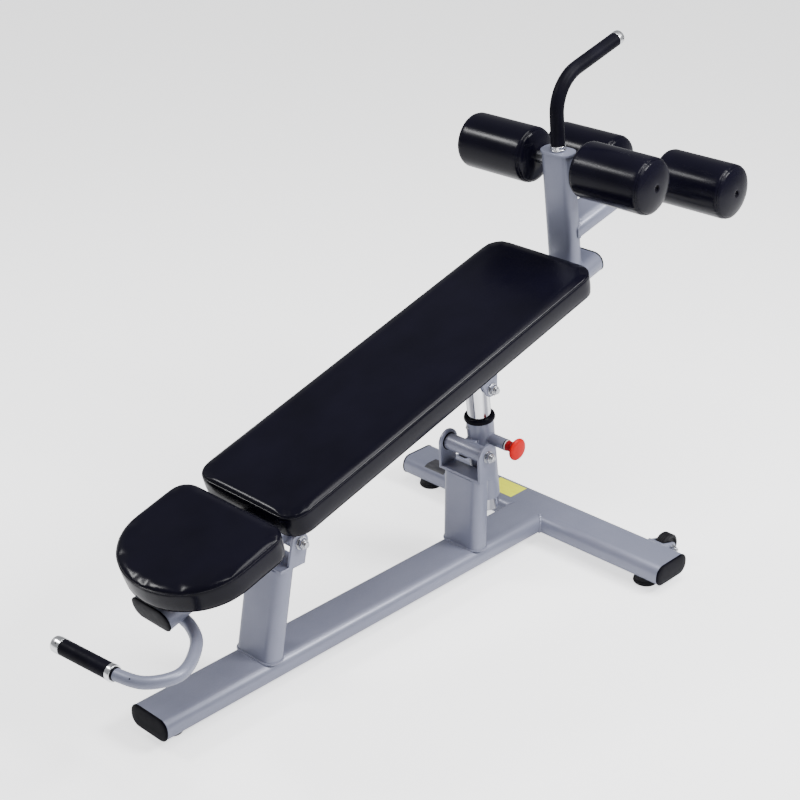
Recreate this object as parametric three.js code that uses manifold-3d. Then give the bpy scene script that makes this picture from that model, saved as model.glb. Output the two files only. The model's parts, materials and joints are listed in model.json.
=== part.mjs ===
// Adjustable decline (sit-up) bench: T-shaped base, tilting bench with pads and leg rollers, and a
// telescopic prop with a pull pin. Millimetres, +Z up, +X from the head end towards the leg rollers.
import * as THREE from "three";
import { mergeVertices } from "three/addons/utils/BufferGeometryUtils.js";
import Module from "manifold-3d";

const wasm = await Module();
wasm.setup();

// ---------------------------------------------------------------- driving dimensions

const GAP = 0.3; // clearance left between pieces that touch
const WALL = 2.5; // wall of the frame tubes
const SIDES = [["right", -1], ["left", 1]]; // the bench's right side is -Y

const MAIN = { wide: 100, high: 45, corner: 20 }; // flat-oval frame tube
const SLIM = { wide: 76, high: 41, corner: 18 }; // flat-oval tube of the roller post and rear arm

const FOOT_HEIGHT = 21;
const FRONT_FOOT = { x: 48, radius: 21 };
const REAR_FOOT = { x: 1064, y: 305, radius: 26 };
const RAIL_BOTTOM = FOOT_HEIGHT;
const RAIL_MIDDLE = RAIL_BOTTOM + MAIN.high / 2;
const RAIL_TOP = RAIL_BOTTOM + MAIN.high;
const CROSS_X = 1077; // middle of the cross tube, from the rail's front end
const CROSS_LENGTH = 712;

// Pivot bolts in their U brackets; half is the inside face of an ear, from the middle.
const HINGE = { x: 328, z: 297, half: 45.5 }; // bench hinge bolt
const TRUNNION = { x: 840.5, z: 284, half: 50 }; // pivot of the prop sleeve
const INCLINE = THREE.MathUtils.degToRad(16.1); // bench incline in the lowest pin hole
const PLATE = 6; // bracket plate thickness

const FRONT_POST = { x: 264, lean: THREE.MathUtils.degToRad(10.3), top: 250 };
const MID_POST = { x: TRUNNION.x, top: 228 };

// Along the bench: u runs up the incline and w stands off it, both from the hinge bolt.
const BEAM = { low: -305, high: 920, w: 52 };
const BEAM_TOP = BEAM.w + MAIN.high / 2;
const PAD = { low: -58, length: 863, width: 265, thick: 52, bottom: 82, corner: 39 };
const HEAD_PAD = { back: -79, flank: -192, front: -311, half: 140, corner: 34, bottom: 80, thick: 51.5 };
const BOARD = 12; // plywood board in the underside of each pad

const POST = { u: 860, lean: THREE.MathUtils.degToRad(7.05), top: 326 };
const ARM = { w: 149.8, droop: 1.8, end: 1164 }; // droop in degrees, from the beam
const FRONT_AXLE = { u: 895, w: 297.5 };
const REAR_AXLE = { u: 1144.5, w: 143.5 };
const AXLE_RADIUS = 12.5;
const ROLLER = { radius: 57.5, inner: 55, outer: 238, dome: 12 };

const HANDLE_RADIUS = 11.5; // steel tube of both handles
const GRIP_RADIUS = 14.5;
const TOP_HANDLE = { bend: 78, w: 465, end: 1104 };
const CARRY_HANDLE_Z = 240.5;

const PIN_ANCHOR = { x: 865, z: 422.5 }; // prop pin under the beam
const PROP_LEAN = THREE.MathUtils.degToRad(8.4);
const SLEEVE = { radius: 28.5, bore: 26.3, low: -136, high: 50 };
const ROD = { radius: 24.5, wall: 3, low: -165, topPastPin: 10 };
const LOCK = { holes: 6, pitch: 25.94, radius: 5.6, height: 10 };
const TRUNNION_TUBE = 17; // radius
const BOSS_END = 68; // outer end of the pull-pin boss, from the middle

const WHEEL = { x: 1165.5, z: 33, radius: 28.5, width: 24, y: 280 };

// ---------------------------------------------------------------- materials

const finish = (color, roughness, metalness) => () =>
  new THREE.MeshStandardMaterial({ color, roughness, metalness });

const frameSilver = finish("#a4aabb", 0.42, 0.35);
const vinyl = finish("#15141d", 0.38, 0);
const rubber = finish("#17161b", 0.75, 0);
const blackPlastic = finish("#1d1c23", 0.5, 0);
const chrome = finish("#dcdfe4", 0.12, 1);
const zincSteel = finish("#b9bdc4", 0.3, 0.9);
const redPlastic = finish("#d8353a", 0.4, 0);
const plywood = finish("#b99a6b", 0.8, 0);

// ---------------------------------------------------------------- solid helpers

// A closed geometry as a solid, so that it can be joined or cut.
function solid(geometry) {
  const bare = new THREE.BufferGeometry();
  const source = geometry.index ? geometry.toNonIndexed() : geometry;
  bare.setAttribute("position", source.getAttribute("position"));
  const merged = mergeVertices(bare, 1e-4);
  const made = new wasm.Manifold(
    new wasm.Mesh({
      numProp: 3,
      vertProperties: merged.attributes.position.array,
      triVerts: new Uint32Array(merged.index.array),
    }),
  );
  return made;
}

// The surface of a solid as a three.js geometry.
function surface(manifold) {
  const mesh = manifold.getMesh();
  const geometry = new THREE.BufferGeometry();
  geometry.setAttribute("position", new THREE.BufferAttribute(mesh.vertProperties, 3));
  geometry.setIndex(new THREE.BufferAttribute(mesh.triVerts, 1));
  geometry.computeVertexNormals();
  return geometry;
}

const join = (...solids) => solids.reduce((sum, next) => sum.add(next));
const cut = (body, ...tools) => tools.reduce((rest, tool) => rest.subtract(tool), body);

// A flat-oval outline, width along the shape's x and height along its y.
function ovalShape(width, height, corner) {
  const shape = new THREE.Shape();
  const w = width / 2;
  const h = height / 2;
  shape.moveTo(w, -h + corner);
  shape.lineTo(w, h - corner);
  shape.absarc(w - corner, h - corner, corner, 0, Math.PI / 2);
  shape.absarc(-w + corner, h - corner, corner, Math.PI / 2, Math.PI);
  shape.absarc(-w + corner, -h + corner, corner, Math.PI, 1.5 * Math.PI);
  shape.absarc(w - corner, -h + corner, corner, 1.5 * Math.PI, 2 * Math.PI);
  return shape;
}

// The outline of one of the two frame tubes, grown outwards by some amount.
const tubeOutline = (tube, grow = 0) =>
  ovalShape(tube.wide + 2 * grow, tube.high + 2 * grow, tube.corner + grow);

const extrude = (shape, depth, curveSegments = 2, extra = {}) =>
  new THREE.ExtrudeGeometry(shape, { depth, curveSegments, bevelEnabled: false, ...extra });

// Turns geometry extruded along Z so that it runs along the named axis, its section's width along Y
// (or along X for a run along Y).
function lay(geometry, along) {
  if (along === "x") return geometry.rotateX(Math.PI / 2).rotateZ(Math.PI / 2);
  if (along === "y") return geometry.rotateX(-Math.PI / 2);
  return geometry.rotateZ(Math.PI / 2);
}

// A frame tube from one station to another along an axis, solid or hollow, around that axis.
function frameTube(tube, along, from, to, { hollow = true, grow = 0 } = {}) {
  const shape = tubeOutline(tube, grow);
  if (hollow) shape.holes.push(tubeOutline(tube, -WALL));
  const geometry = extrude(shape, to - from).translate(0, 0, from);
  return solid(lay(geometry, along));
}

// A round bar or tube along an axis, centred on it between two stations.
function round(radius, along, from, to, { bore = 0, segments = 24 } = {}) {
  const outline = new THREE.Shape().absarc(0, 0, radius, 0, 2 * Math.PI);
  if (bore) outline.holes.push(new THREE.Path().absarc(0, 0, bore, 0, 2 * Math.PI));
  const geometry = extrude(outline, to - from, segments / 2).translate(0, 0, from);
  return solid(lay(geometry, along));
}

// A turned piece along Y from a profile of [radius, station] points.
function turned(profile, segments = 24) {
  const points = profile.map(([radius, station]) => new THREE.Vector2(radius, station));
  const made = solid(new THREE.LatheGeometry(points, segments));
  return made.volume() > 0 ? made : solid(new THREE.LatheGeometry(points.reverse(), segments));
}

// A block between two corners.
function block([x0, y0, z0], [x1, y1, z1]) {
  const geometry = new THREE.BoxGeometry(x1 - x0, y1 - y0, z1 - z0);
  return solid(geometry.translate((x0 + x1) / 2, (y0 + y1) / 2, (z0 + z1) / 2));
}

// A plate drawn in the X-Z plane and thickened along Y.
function sidePlate(shape, from, to, curveSegments = 5) {
  const geometry = extrude(shape, to - from, curveSegments).rotateX(Math.PI / 2);
  return solid(geometry.translate(0, to, 0));
}

// A hexagon-headed through bolt along Y with its nut, head on the -Y side.
function throughBolt(radius, head, nut, hexAcross) {
  const shank = round(radius, "y", head, nut, { segments: 12 });
  const washer = hexAcross * 0.68;
  return join(
    shank,
    round(washer, "y", head, head + 1.8, { segments: 12 }),
    round(hexAcross * 0.577, "y", head - hexAcross * 0.42, head + 0.5, { segments: 6 }),
    round(washer, "y", nut - 1.8, nut, { segments: 12 }),
    round(hexAcross * 0.577, "y", nut - 0.5, nut + hexAcross * 0.5, { segments: 6 }),
  );
}

// An end cap that closes a frame tube: a face plate with rounded edges, and a hollow plug inside the
// tube. Its face looks along the axis, or against it if the direction is -1.
function endCap(tube, along, direction, plugDepth) {
  const bevel = 2;
  const face = extrude(tubeOutline(tube, -bevel), 1, 2, {
    bevelEnabled: true,
    bevelThickness: bevel,
    bevelSize: bevel,
    bevelSegments: 1,
  }).translate(0, 0, bevel + GAP);
  const plugShape = tubeOutline(tube, -WALL - GAP);
  plugShape.holes.push(tubeOutline(tube, -WALL - GAP - 3));
  const plug = extrude(plugShape, plugDepth + 2 * GAP, 1).translate(0, 0, -plugDepth);
  const facing = join(solid(face), solid(plug)).rotate(along === "x" ? [90, 0, 90] : [-90, 0, 0]);
  return direction > 0 ? facing : facing.rotate([0, 0, 180]);
}

// A mesh in its group, under a plain name.
function add(group, name, manifold, material) {
  const mesh = new THREE.Mesh(surface(manifold), material());
  mesh.name = name;
  group.add(mesh);
  return mesh;
}

const bench = new THREE.Group();
const base = new THREE.Group();
const tilting = new THREE.Group();
const sleeveGroup = new THREE.Group();
bench.add(base, tilting, sleeveGroup);

tilting.position.set(HINGE.x, 0, HINGE.z);
tilting.rotation.y = -INCLINE;

sleeveGroup.rotation.y = -PROP_LEAN;

// ---------------------------------------------------------------- base: rail, cross tube and feet

function buildRails() {
  const crossCutter = frameTube(MAIN, "y", -CROSS_LENGTH / 2, CROSS_LENGTH / 2, {
    hollow: false,
    grow: GAP,
  }).translate([CROSS_X, 0, RAIL_MIDDLE]);
  const rail = frameTube(MAIN, "x", 0, CROSS_X).translate([0, 0, RAIL_MIDDLE]);
  const beyond = block([CROSS_X - 15, -60, 0], [CROSS_X + 5, 60, 100]);
  add(base, "base_rail", cut(rail, crossCutter, beyond), frameSilver);

  const cross = frameTube(MAIN, "y", -CROSS_LENGTH / 2, CROSS_LENGTH / 2);
  add(base, "cross_tube", cross, frameSilver).position.set(CROSS_X, 0, RAIL_MIDDLE);

  add(base, "rail_end_cap", endCap(MAIN, "x", -1, 20), blackPlastic).position.z = RAIL_MIDDLE;
  for (const [name, side] of SIDES) {
    const cap = add(base, `cross_tube_cap_${name}`, endCap(MAIN, "y", side, 20), blackPlastic);
    cap.position.set(CROSS_X, (side * CROSS_LENGTH) / 2, RAIL_MIDDLE);
  }
}

function buildFeet() {
  const foot = (radius) =>
    turned([
      [0, 0],
      [radius - 2, 0],
      [radius, 3],
      [radius - 2, 14],
      [radius - 5, FOOT_HEIGHT - GAP],
      [0, FOOT_HEIGHT - GAP],
    ]).rotate([90, 0, 0]);
  add(base, "front_foot", foot(FRONT_FOOT.radius), rubber).position.x = FRONT_FOOT.x;
  for (const [name, side] of SIDES) {
    add(base, `rear_foot_${name}`, foot(REAR_FOOT.radius), rubber).position.set(REAR_FOOT.x, side * REAR_FOOT.y, 0);
  }
}

// ---------------------------------------------------------------- base: posts and U brackets

function buildFrontPost() {
  const { x, lean, top } = FRONT_POST;
  const run = (top - RAIL_TOP) / Math.cos(lean);
  const tube = frameTube(MAIN, "z", -20, run + 20)
    .rotate([0, THREE.MathUtils.radToDeg(lean), 0])
    .translate([x, 0, RAIL_TOP]);
  const below = block([x - 60, -60, 0], [x + 60, 60, RAIL_TOP + GAP]);
  const above = block([x - 20, -60, top], [x + 110, 60, top + 60]);
  add(base, "front_post", cut(tube, below, above), frameSilver);

  // Each ear leans with the post; its bolt sits near the upper rear corner.
  const ear = new THREE.Shape();
  const low = top + GAP;
  ear.moveTo(HINGE.x - 33, low);
  ear.lineTo(HINGE.x + 9, low);
  ear.lineTo(HINGE.x + 18, HINGE.z - 4);
  ear.absarc(HINGE.x, HINGE.z, 18.5, -0.2, Math.PI / 2 + 0.2);
  ear.lineTo(HINGE.x - 19, HINGE.z + 15);
  ear.closePath();
  buildBracket("front_bracket", ear, [HINGE.x - 52, HINGE.x + 10], low, HINGE);
}

function buildMidPost() {
  const { x, top } = MID_POST;
  const tube = frameTube(MAIN, "z", RAIL_TOP + GAP, top).translate([x, 0, 0]);
  add(base, "mid_post", tube, frameSilver);

  const ear = new THREE.Shape();
  const low = top + GAP;
  ear.moveTo(x - 22, low);
  ear.lineTo(x + 22, low);
  ear.absarc(x, TRUNNION.z, 26, -0.25, Math.PI + 0.25);
  ear.closePath();
  buildBracket("mid_bracket", ear, [x - 22.5, x + 21], low, TRUNNION);
}

// A U bracket: a base plate on the post's top and two ears with a bolt hole.
function buildBracket(name, ear, [from, to], low, bolt) {
  const outside = bolt.half + PLATE;
  const hole = round(6.6, "y", -outside - 5, outside + 5, { segments: 16 }).translate([bolt.x, 0, bolt.z]);
  const bracket = join(
    block([from, -outside, low], [to, outside, low + PLATE]),
    sidePlate(ear, -outside, -bolt.half),
    sidePlate(ear, bolt.half, outside),
  );
  add(base, name, cut(bracket, hole), frameSilver);
}

function buildPivotBolts() {
  for (const [name, place] of [["hinge_bolt", HINGE], ["trunnion_bolt", TRUNNION]]) {
    const outside = place.half + PLATE + GAP;
    const bolt = throughBolt(6, -outside - 1.8, outside + 1.8, 19);
    add(base, name, bolt, zincSteel).position.set(place.x, 0, place.z);
  }
}

// ---------------------------------------------------------------- base: transport wheels

function buildWheels() {
  const rearFace = CROSS_X + MAIN.wide / 2;
  const forkHalf = WHEEL.width / 2 + 1.5;
  const fork = new THREE.Shape();
  fork.moveTo(rearFace - 8, RAIL_BOTTOM + 5);
  fork.lineTo(WHEEL.x, WHEEL.z - 13);
  fork.absarc(WHEEL.x, WHEEL.z, 13, -Math.PI / 2, Math.PI / 2);
  fork.lineTo(rearFace - 8, RAIL_TOP - 5);
  fork.closePath();
  for (const [name, side] of SIDES) {
    const plates = [-forkHalf - 4, forkHalf].map((from) => sidePlate(fork, from, from + 4));
    const web = block(
      [rearFace - 8, -forkHalf - 4, RAIL_BOTTOM + 6],
      [rearFace + 4, forkHalf + 4, RAIL_TOP - 6],
    );
    const crossCutter = frameTube(MAIN, "y", -60, 60, { hollow: false, grow: GAP })
      .translate([CROSS_X, 0, RAIL_MIDDLE]);
    const hole = round(4.4, "y", -40, 40, { segments: 16 }).translate([WHEEL.x, 0, WHEEL.z]);
    const made = cut(join(...plates, web), crossCutter, hole);
    add(base, `wheel_fork_${name}`, made, frameSilver).position.y = side * WHEEL.y;

    const ends = forkHalf + 4 + GAP;
    const bolt = throughBolt(4, -ends - 1.8, ends + 1.8, 13);
    const boltMesh = add(base, `wheel_bolt_${name}`, bolt, zincSteel);
    boltMesh.position.set(WHEEL.x, side * WHEEL.y, WHEEL.z);
    if (side > 0) boltMesh.rotation.z = Math.PI;

    const half = WHEEL.width / 2;
    const wheel = turned([
      [4.4, -half],
      [9, -half],
      [9, -half + 4],
      [21, -half + 4],
      [21, -half],
      [WHEEL.radius - 3, -half],
      [WHEEL.radius, -half + 3],
      [WHEEL.radius, half - 3],
      [WHEEL.radius - 3, half],
      [21, half],
      [21, half - 4],
      [9, half - 4],
      [9, half],
      [4.4, half],
      [4.4, -half],
    ], 16);
    add(base, `wheel_${name}`, wheel, rubber).position.set(WHEEL.x, side * WHEEL.y, WHEEL.z);
  }
}

// ---------------------------------------------------------------- bench: beam, hinge and prop clevis

// The prop pin's place along the bench, worked out from its place in space.
function benchStation({ x, z }) {
  const dx = x - HINGE.x;
  const dz = z - HINGE.z;
  return {
    u: dx * Math.cos(INCLINE) + dz * Math.sin(INCLINE),
    w: -dx * Math.sin(INCLINE) + dz * Math.cos(INCLINE),
  };
}

function buildBeam() {
  const beam = frameTube(MAIN, "x", BEAM.low, BEAM.high).translate([0, 0, BEAM.w]);
  add(tilting, "bench_beam", beam, frameSilver);
  for (const [name, u, direction] of [["lower", BEAM.low, -1], ["upper", BEAM.high, 1]]) {
    const cap = add(tilting, `beam_cap_${name}`, endCap(MAIN, "x", direction, 20), blackPlastic);
    cap.position.set(u, 0, BEAM.w);
  }

  // Hinge barrel: a cross tube on the hinge bolt with a block up to the beam.
  const half = HINGE.half - 0.7;
  const underside = BEAM.w - MAIN.high / 2 - GAP;
  const barrel = cut(
    join(round(16, "y", -half, half), block([-22, -30, 4], [12, 30, underside])),
    round(6.6, "y", -half - 5, half + 5, { segments: 16 }),
  );
  add(tilting, "hinge_barrel", barrel, frameSilver);
}

function buildClevis() {
  const pin = benchStation(PIN_ANCHOR);
  const underside = BEAM.w - MAIN.high / 2 - GAP;
  const inner = 35;
  const ear = new THREE.Shape();
  ear.moveTo(pin.u - 32, underside);
  ear.absarc(pin.u, pin.w, 17, Math.PI + 0.25, 2 * Math.PI - 0.25);
  ear.lineTo(pin.u + 32, underside);
  ear.closePath();
  const top = block([pin.u - 32, -inner - PLATE, underside - PLATE], [pin.u + 32, inner + PLATE, underside]);
  const hole = round(6.6, "y", -60, 60, { segments: 16 }).translate([pin.u, 0, pin.w]);
  const clevis = cut(
    join(top, sidePlate(ear, -inner - PLATE, -inner), sidePlate(ear, inner, inner + PLATE)),
    hole,
  );
  add(tilting, "prop_clevis", clevis, frameSilver);

  const outside = inner + PLATE + GAP + 1.8;
  const bolt = throughBolt(6, -outside, outside, 19);
  add(tilting, "prop_pin", bolt, zincSteel).position.set(pin.u, 0, pin.w);
}

// ---------------------------------------------------------------- bench: pads

// A rounded slab from a plan outline, with a pocket in its underside for the board.
function padWithBoard(outline, inset, thick, segments) {
  const bevel = 9;
  const slab = extrude(outline(bevel), thick - 2 * bevel, segments, {
    bevelEnabled: true,
    bevelThickness: bevel,
    bevelSize: bevel,
    bevelSegments: 2,
  }).translate(0, 0, bevel);
  const pocket = extrude(outline(inset), BOARD + 1.3 + GAP, segments).translate(0, 0, -1);
  const board = extrude(outline(inset + GAP), BOARD, segments);
  return [cut(solid(slab), solid(pocket)), solid(board)];
}

// Plan of the head pad: square towards the back pad, a half oval at the front.
function headPlan(inset) {
  const half = HEAD_PAD.half - inset;
  const back = HEAD_PAD.back - inset;
  const front = HEAD_PAD.front + inset;
  const corner = HEAD_PAD.corner - inset;
  const shape = new THREE.Shape();
  shape.moveTo(back, half - corner);
  shape.absarc(back - corner, half - corner, corner, 0, Math.PI / 2);
  shape.lineTo(HEAD_PAD.flank, half);
  shape.absellipse(HEAD_PAD.flank, 0, HEAD_PAD.flank - front, half, Math.PI / 2, 1.5 * Math.PI);
  shape.lineTo(back - corner, -half);
  shape.absarc(back - corner, -half + corner, corner, 1.5 * Math.PI, 2 * Math.PI);
  shape.closePath();
  return shape;
}

function backPlan(inset) {
  return ovalShape(PAD.length - 2 * inset, PAD.width - 2 * inset, PAD.corner - inset);
}

function buildPads() {
  const inset = 12;
  const middle = PAD.low + PAD.length / 2;
  const [backPad, backBoard] = padWithBoard(backPlan, inset, PAD.thick, 3);
  add(tilting, "back_pad", backPad, vinyl).position.set(middle, 0, PAD.bottom);
  add(tilting, "back_pad_board", backBoard, plywood).position.set(middle, 0, PAD.bottom);

  const [headPad, headBoard] = padWithBoard(headPlan, inset, HEAD_PAD.thick, 4);
  add(tilting, "head_pad", headPad, vinyl).position.z = HEAD_PAD.bottom;
  add(tilting, "head_pad_board", headBoard, plywood).position.z = HEAD_PAD.bottom;

  const plates = [
    ["pad_plate_front", 70, PAD.bottom],
    ["pad_plate_rear", 640, PAD.bottom],
    ["pad_plate_head", -215, HEAD_PAD.bottom],
  ];
  for (const [name, u, top] of plates) {
    const shape = ovalShape(70, 190, 12);
    const thick = top - BEAM_TOP - 2 * GAP;
    const plate = solid(extrude(shape, thick, 3));
    add(tilting, name, plate, frameSilver).position.set(u, 0, BEAM_TOP + GAP);
  }
}

// ---------------------------------------------------------------- bench: roller post, arm and axles

const postTilt = THREE.MathUtils.radToDeg(POST.lean);
const postLength = (POST.top - BEAM.w) / Math.cos(POST.lean);
const armDroop = THREE.MathUtils.degToRad(ARM.droop);

// The roller post as a solid, from inside the beam to its capped top.
function postSolid(grow, hollow) {
  return frameTube(SLIM, "z", 0, postLength - 5, { hollow, grow })
    .rotate([0, postTilt, 0])
    .translate([POST.u, 0, BEAM.w]);
}

function buildPostAndArm() {
  const postTop = solid(
    lay(extrude(tubeOutline(SLIM, -0.5), 4, 2, {
      bevelEnabled: true,
      bevelThickness: 0.9,
      bevelSize: 1,
      bevelSegments: 1,
    }), "z").translate(0, 0, postLength - 5),
  )
    .rotate([0, postTilt, 0])
    .translate([POST.u, 0, BEAM.w]);
  const beamCutter = block([POST.u - 80, -60, 0], [POST.u + 80, 60, BEAM_TOP + GAP]);
  const handleHole = round(HANDLE_RADIUS + GAP, "z", 0, 40)
    .rotate([0, THREE.MathUtils.radToDeg(TOP_LEAN), 0])
    .translate([TOP_FOOT.u - 12 * Math.sin(TOP_LEAN), 0, TOP_FOOT.w - 12 * Math.cos(TOP_LEAN)]);
  const frontAxleHole = round(AXLE_RADIUS + GAP, "y", -60, 60).translate([FRONT_AXLE.u, 0, FRONT_AXLE.w]);
  const post = cut(join(postSolid(0, true), postTop), beamCutter, frontAxleHole, handleHole);
  add(tilting, "roller_post", post, frameSilver);

  const armLength = (ARM.end - POST.u) / Math.cos(armDroop);
  const arm = frameTube(SLIM, "x", 0, armLength)
    .rotate([0, ARM.droop, 0])
    .translate([POST.u, 0, ARM.w]);
  const behindPost = block([POST.u - 30, -60, ARM.w - 60], [POST.u + 10, 60, ARM.w + 60]);
  const rearAxleHole = round(AXLE_RADIUS + GAP, "y", -60, 60).translate([REAR_AXLE.u, 0, REAR_AXLE.w]);
  add(tilting, "rear_arm", cut(arm, postSolid(GAP, false), behindPost, rearAxleHole), frameSilver);

  const armCap = add(tilting, "rear_arm_cap", endCap(SLIM, "x", 1, 4), blackPlastic);
  armCap.position.set(ARM.end, 0, ARM.w - armLength * Math.sin(armDroop));
  armCap.rotation.y = armDroop;
}

function buildRollers() {
  const { radius, inner, outer, dome } = ROLLER;
  const bore = AXLE_RADIUS + 0.4;
  const middle = (inner + outer) / 2;
  const half = (outer - inner) / 2;
  const profile = [
    [bore, -half],
    [20, -half],
    [radius - 12, -half + 2],
    [radius - 3, -half + 6],
    [radius, -half + 12],
    [radius, half - dome],
    [radius - 4, half - dome + 4],
    [radius - 16, half - 5],
    [24, half - 1],
    [6, half],
    [6, half - 12],
    [bore, half - 12],
    [bore, -half],
  ];
  const axles = [["front", FRONT_AXLE], ["rear", REAR_AXLE]];
  for (const [row, place] of axles) {
    const end = outer - 14;
    const bar = round(AXLE_RADIUS, "y", -end, end);
    add(tilting, `${row}_axle`, bar, zincSteel).position.set(place.u, 0, place.w);
    for (const [name, side] of SIDES) {
      const roller = add(tilting, `${row}_roller_${name}`, turned(profile, 18), vinyl);
      roller.position.set(place.u, side * middle, place.w);
      if (side < 0) roller.rotation.z = Math.PI;
    }
  }
}

// ---------------------------------------------------------------- bench: handles

// The top handle leaves the roller post's top along a slightly steeper line than the post and bends
// over until it runs parallel to the beam.
const TOP_LEAN = THREE.MathUtils.degToRad(8.9);
const TOP_FOOT = { u: 894.3, w: POST.top + 0.9 };

function topHandlePath(from) {
  const { bend, w, end } = TOP_HANDLE;
  const bendLow = w - bend + bend * Math.sin(TOP_LEAN);
  const bendStart = TOP_FOOT.u + (bendLow - TOP_FOOT.w) * Math.tan(TOP_LEAN);
  const middle = bendStart + bend * Math.cos(TOP_LEAN);
  const points = [];
  const foot = new THREE.Vector3(TOP_FOOT.u, 0, TOP_FOOT.w);
  const up = new THREE.Vector3(Math.sin(TOP_LEAN), 0, Math.cos(TOP_LEAN));
  points.push(foot.clone().addScaledVector(up, from));
  points.push(foot.clone().addScaledVector(up, from + 0.5 * (bendLow - TOP_FOOT.w - from)));
  const steps = 9;
  for (let i = 0; i <= steps; i += 1) {
    const angle = Math.PI - TOP_LEAN - ((Math.PI / 2 - TOP_LEAN) * i) / steps;
    points.push(new THREE.Vector3(middle + bend * Math.cos(angle), 0, w - bend + bend * Math.sin(angle)));
  }
  points.push(new THREE.Vector3((middle + end) / 2, 0, w));
  points.push(new THREE.Vector3(end, 0, w));
  return points;
}

// The carry handle under the beam's low end: a hook in a level plane, its grip across the bench.
const CARRY_HOOK = [
  [72, -8],
  [63, -51],
  [33, -103],
  [-45, -153],
  [-99, -130],
  [-118, -77],
];
const CARRY_GRIP_END = [-131, 61];

// A round bar that follows a list of points.
function pipe(points, radius, steps, segments = 12) {
  const path = new THREE.CatmullRomCurve3(points, false, "centripetal");
  const outline = new THREE.Shape().absarc(0, 0, radius, 0, 2 * Math.PI);
  return solid(
    new THREE.ExtrudeGeometry(outline, { steps, curveSegments: segments / 2, extrudePath: path }),
  );
}

function buildTopHandle() {
  const steps = 18;
  const tubePath = topHandlePath(-10);
  add(tilting, "top_handle", pipe(tubePath, HANDLE_RADIUS, steps), chrome);
  const collarLength = 11;
  const bore = pipe(tubePath, HANDLE_RADIUS + GAP, steps);
  const grip = cut(pipe(topHandlePath(collarLength + GAP), GRIP_RADIUS, steps), bore);
  add(tilting, "top_handle_grip", grip, rubber);

  const collar = round(17, "z", 0, collarLength, { bore: HANDLE_RADIUS + 0.5 });
  const collarMesh = add(tilting, "top_handle_collar", collar, chrome);
  collarMesh.position.set(TOP_FOOT.u, 0, TOP_FOOT.w);
  collarMesh.rotation.y = TOP_LEAN;

  const cap = join(
    round(GRIP_RADIUS, "x", 0.6, 17),
    round(GRIP_RADIUS - 3, "x", 16, 21),
  );
  add(tilting, "top_handle_cap", cap, chrome).position.set(TOP_HANDLE.end, 0, TOP_HANDLE.w);
}

function buildCarryHandle() {
  const level = ([x, y]) => new THREE.Vector3(x, y, 0);
  const hookEnd = level(CARRY_HOOK.at(-1));
  const gripEnd = level(CARRY_GRIP_END);
  const along = gripEnd.clone().sub(hookEnd).normalize();
  const gripLength = hookEnd.distanceTo(gripEnd);

  const carry = new THREE.Group();
  carry.position.z = CARRY_HANDLE_Z;
  carryHolder.add(carry);

  const points = [...CARRY_HOOK.map(level), hookEnd.clone().lerp(gripEnd, 0.5), gripEnd];
  const saddle = block([60, -20, 0], [84, 10, 25]);
  const beam = frameTube(MAIN, "x", BEAM.low, BEAM.high, { hollow: false, grow: GAP })
    .translate([0, 0, BEAM.w])
    .rotate([0, -THREE.MathUtils.radToDeg(INCLINE), 0])
    .translate([HINGE.x, 0, HINGE.z - CARRY_HANDLE_Z]);
  const steps = 26;
  const hook = cut(join(pipe(points, HANDLE_RADIUS, steps), saddle), beam);
  add(carry, "carry_handle", hook, frameSilver);

  const heading = Math.atan2(along.y, along.x) - Math.PI / 2;
  const bore = pipe(points, HANDLE_RADIUS + GAP, steps);
  const collarEnd = 12;
  const pieces = [
    ["carry_handle_collar", round(16, "y", 4, collarEnd), chrome],
    ["carry_handle_grip", round(GRIP_RADIUS + 0.5, "y", collarEnd + GAP, gripLength - GAP), rubber],
    ["carry_handle_cap", join(
      round(16, "y", gripLength + GAP, gripLength + 11),
      round(13.5, "y", gripLength + 10, gripLength + 14),
    ), chrome],
  ];
  for (const [name, piece, material] of pieces) {
    const placed = piece
      .rotate([0, 0, THREE.MathUtils.radToDeg(heading)])
      .translate([hookEnd.x, hookEnd.y, 0]);
    add(carry, name, cut(placed, bore), material);
  }
}

// The carry handle is set out level, in the base's directions, though it is welded to the beam.
const carryHolder = new THREE.Group();
bench.add(carryHolder);

// ---------------------------------------------------------------- prop: sleeve, rod and pull pin

// The prop group stands on the sleeve's axis at the foot of the trunnion's offset, with z up the prop.
function propFoot() {
  const up = { x: -Math.sin(PROP_LEAN), z: Math.cos(PROP_LEAN) };
  const dx = TRUNNION.x - PIN_ANCHOR.x;
  const dz = TRUNNION.z - PIN_ANCHOR.z;
  const along = dx * up.x + dz * up.z;
  const foot = { x: PIN_ANCHOR.x + along * up.x, z: PIN_ANCHOR.z + along * up.z };
  const offset = Math.hypot(foot.x - TRUNNION.x, foot.z - TRUNNION.z);
  return { foot, offset, reach: -along };
}

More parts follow.
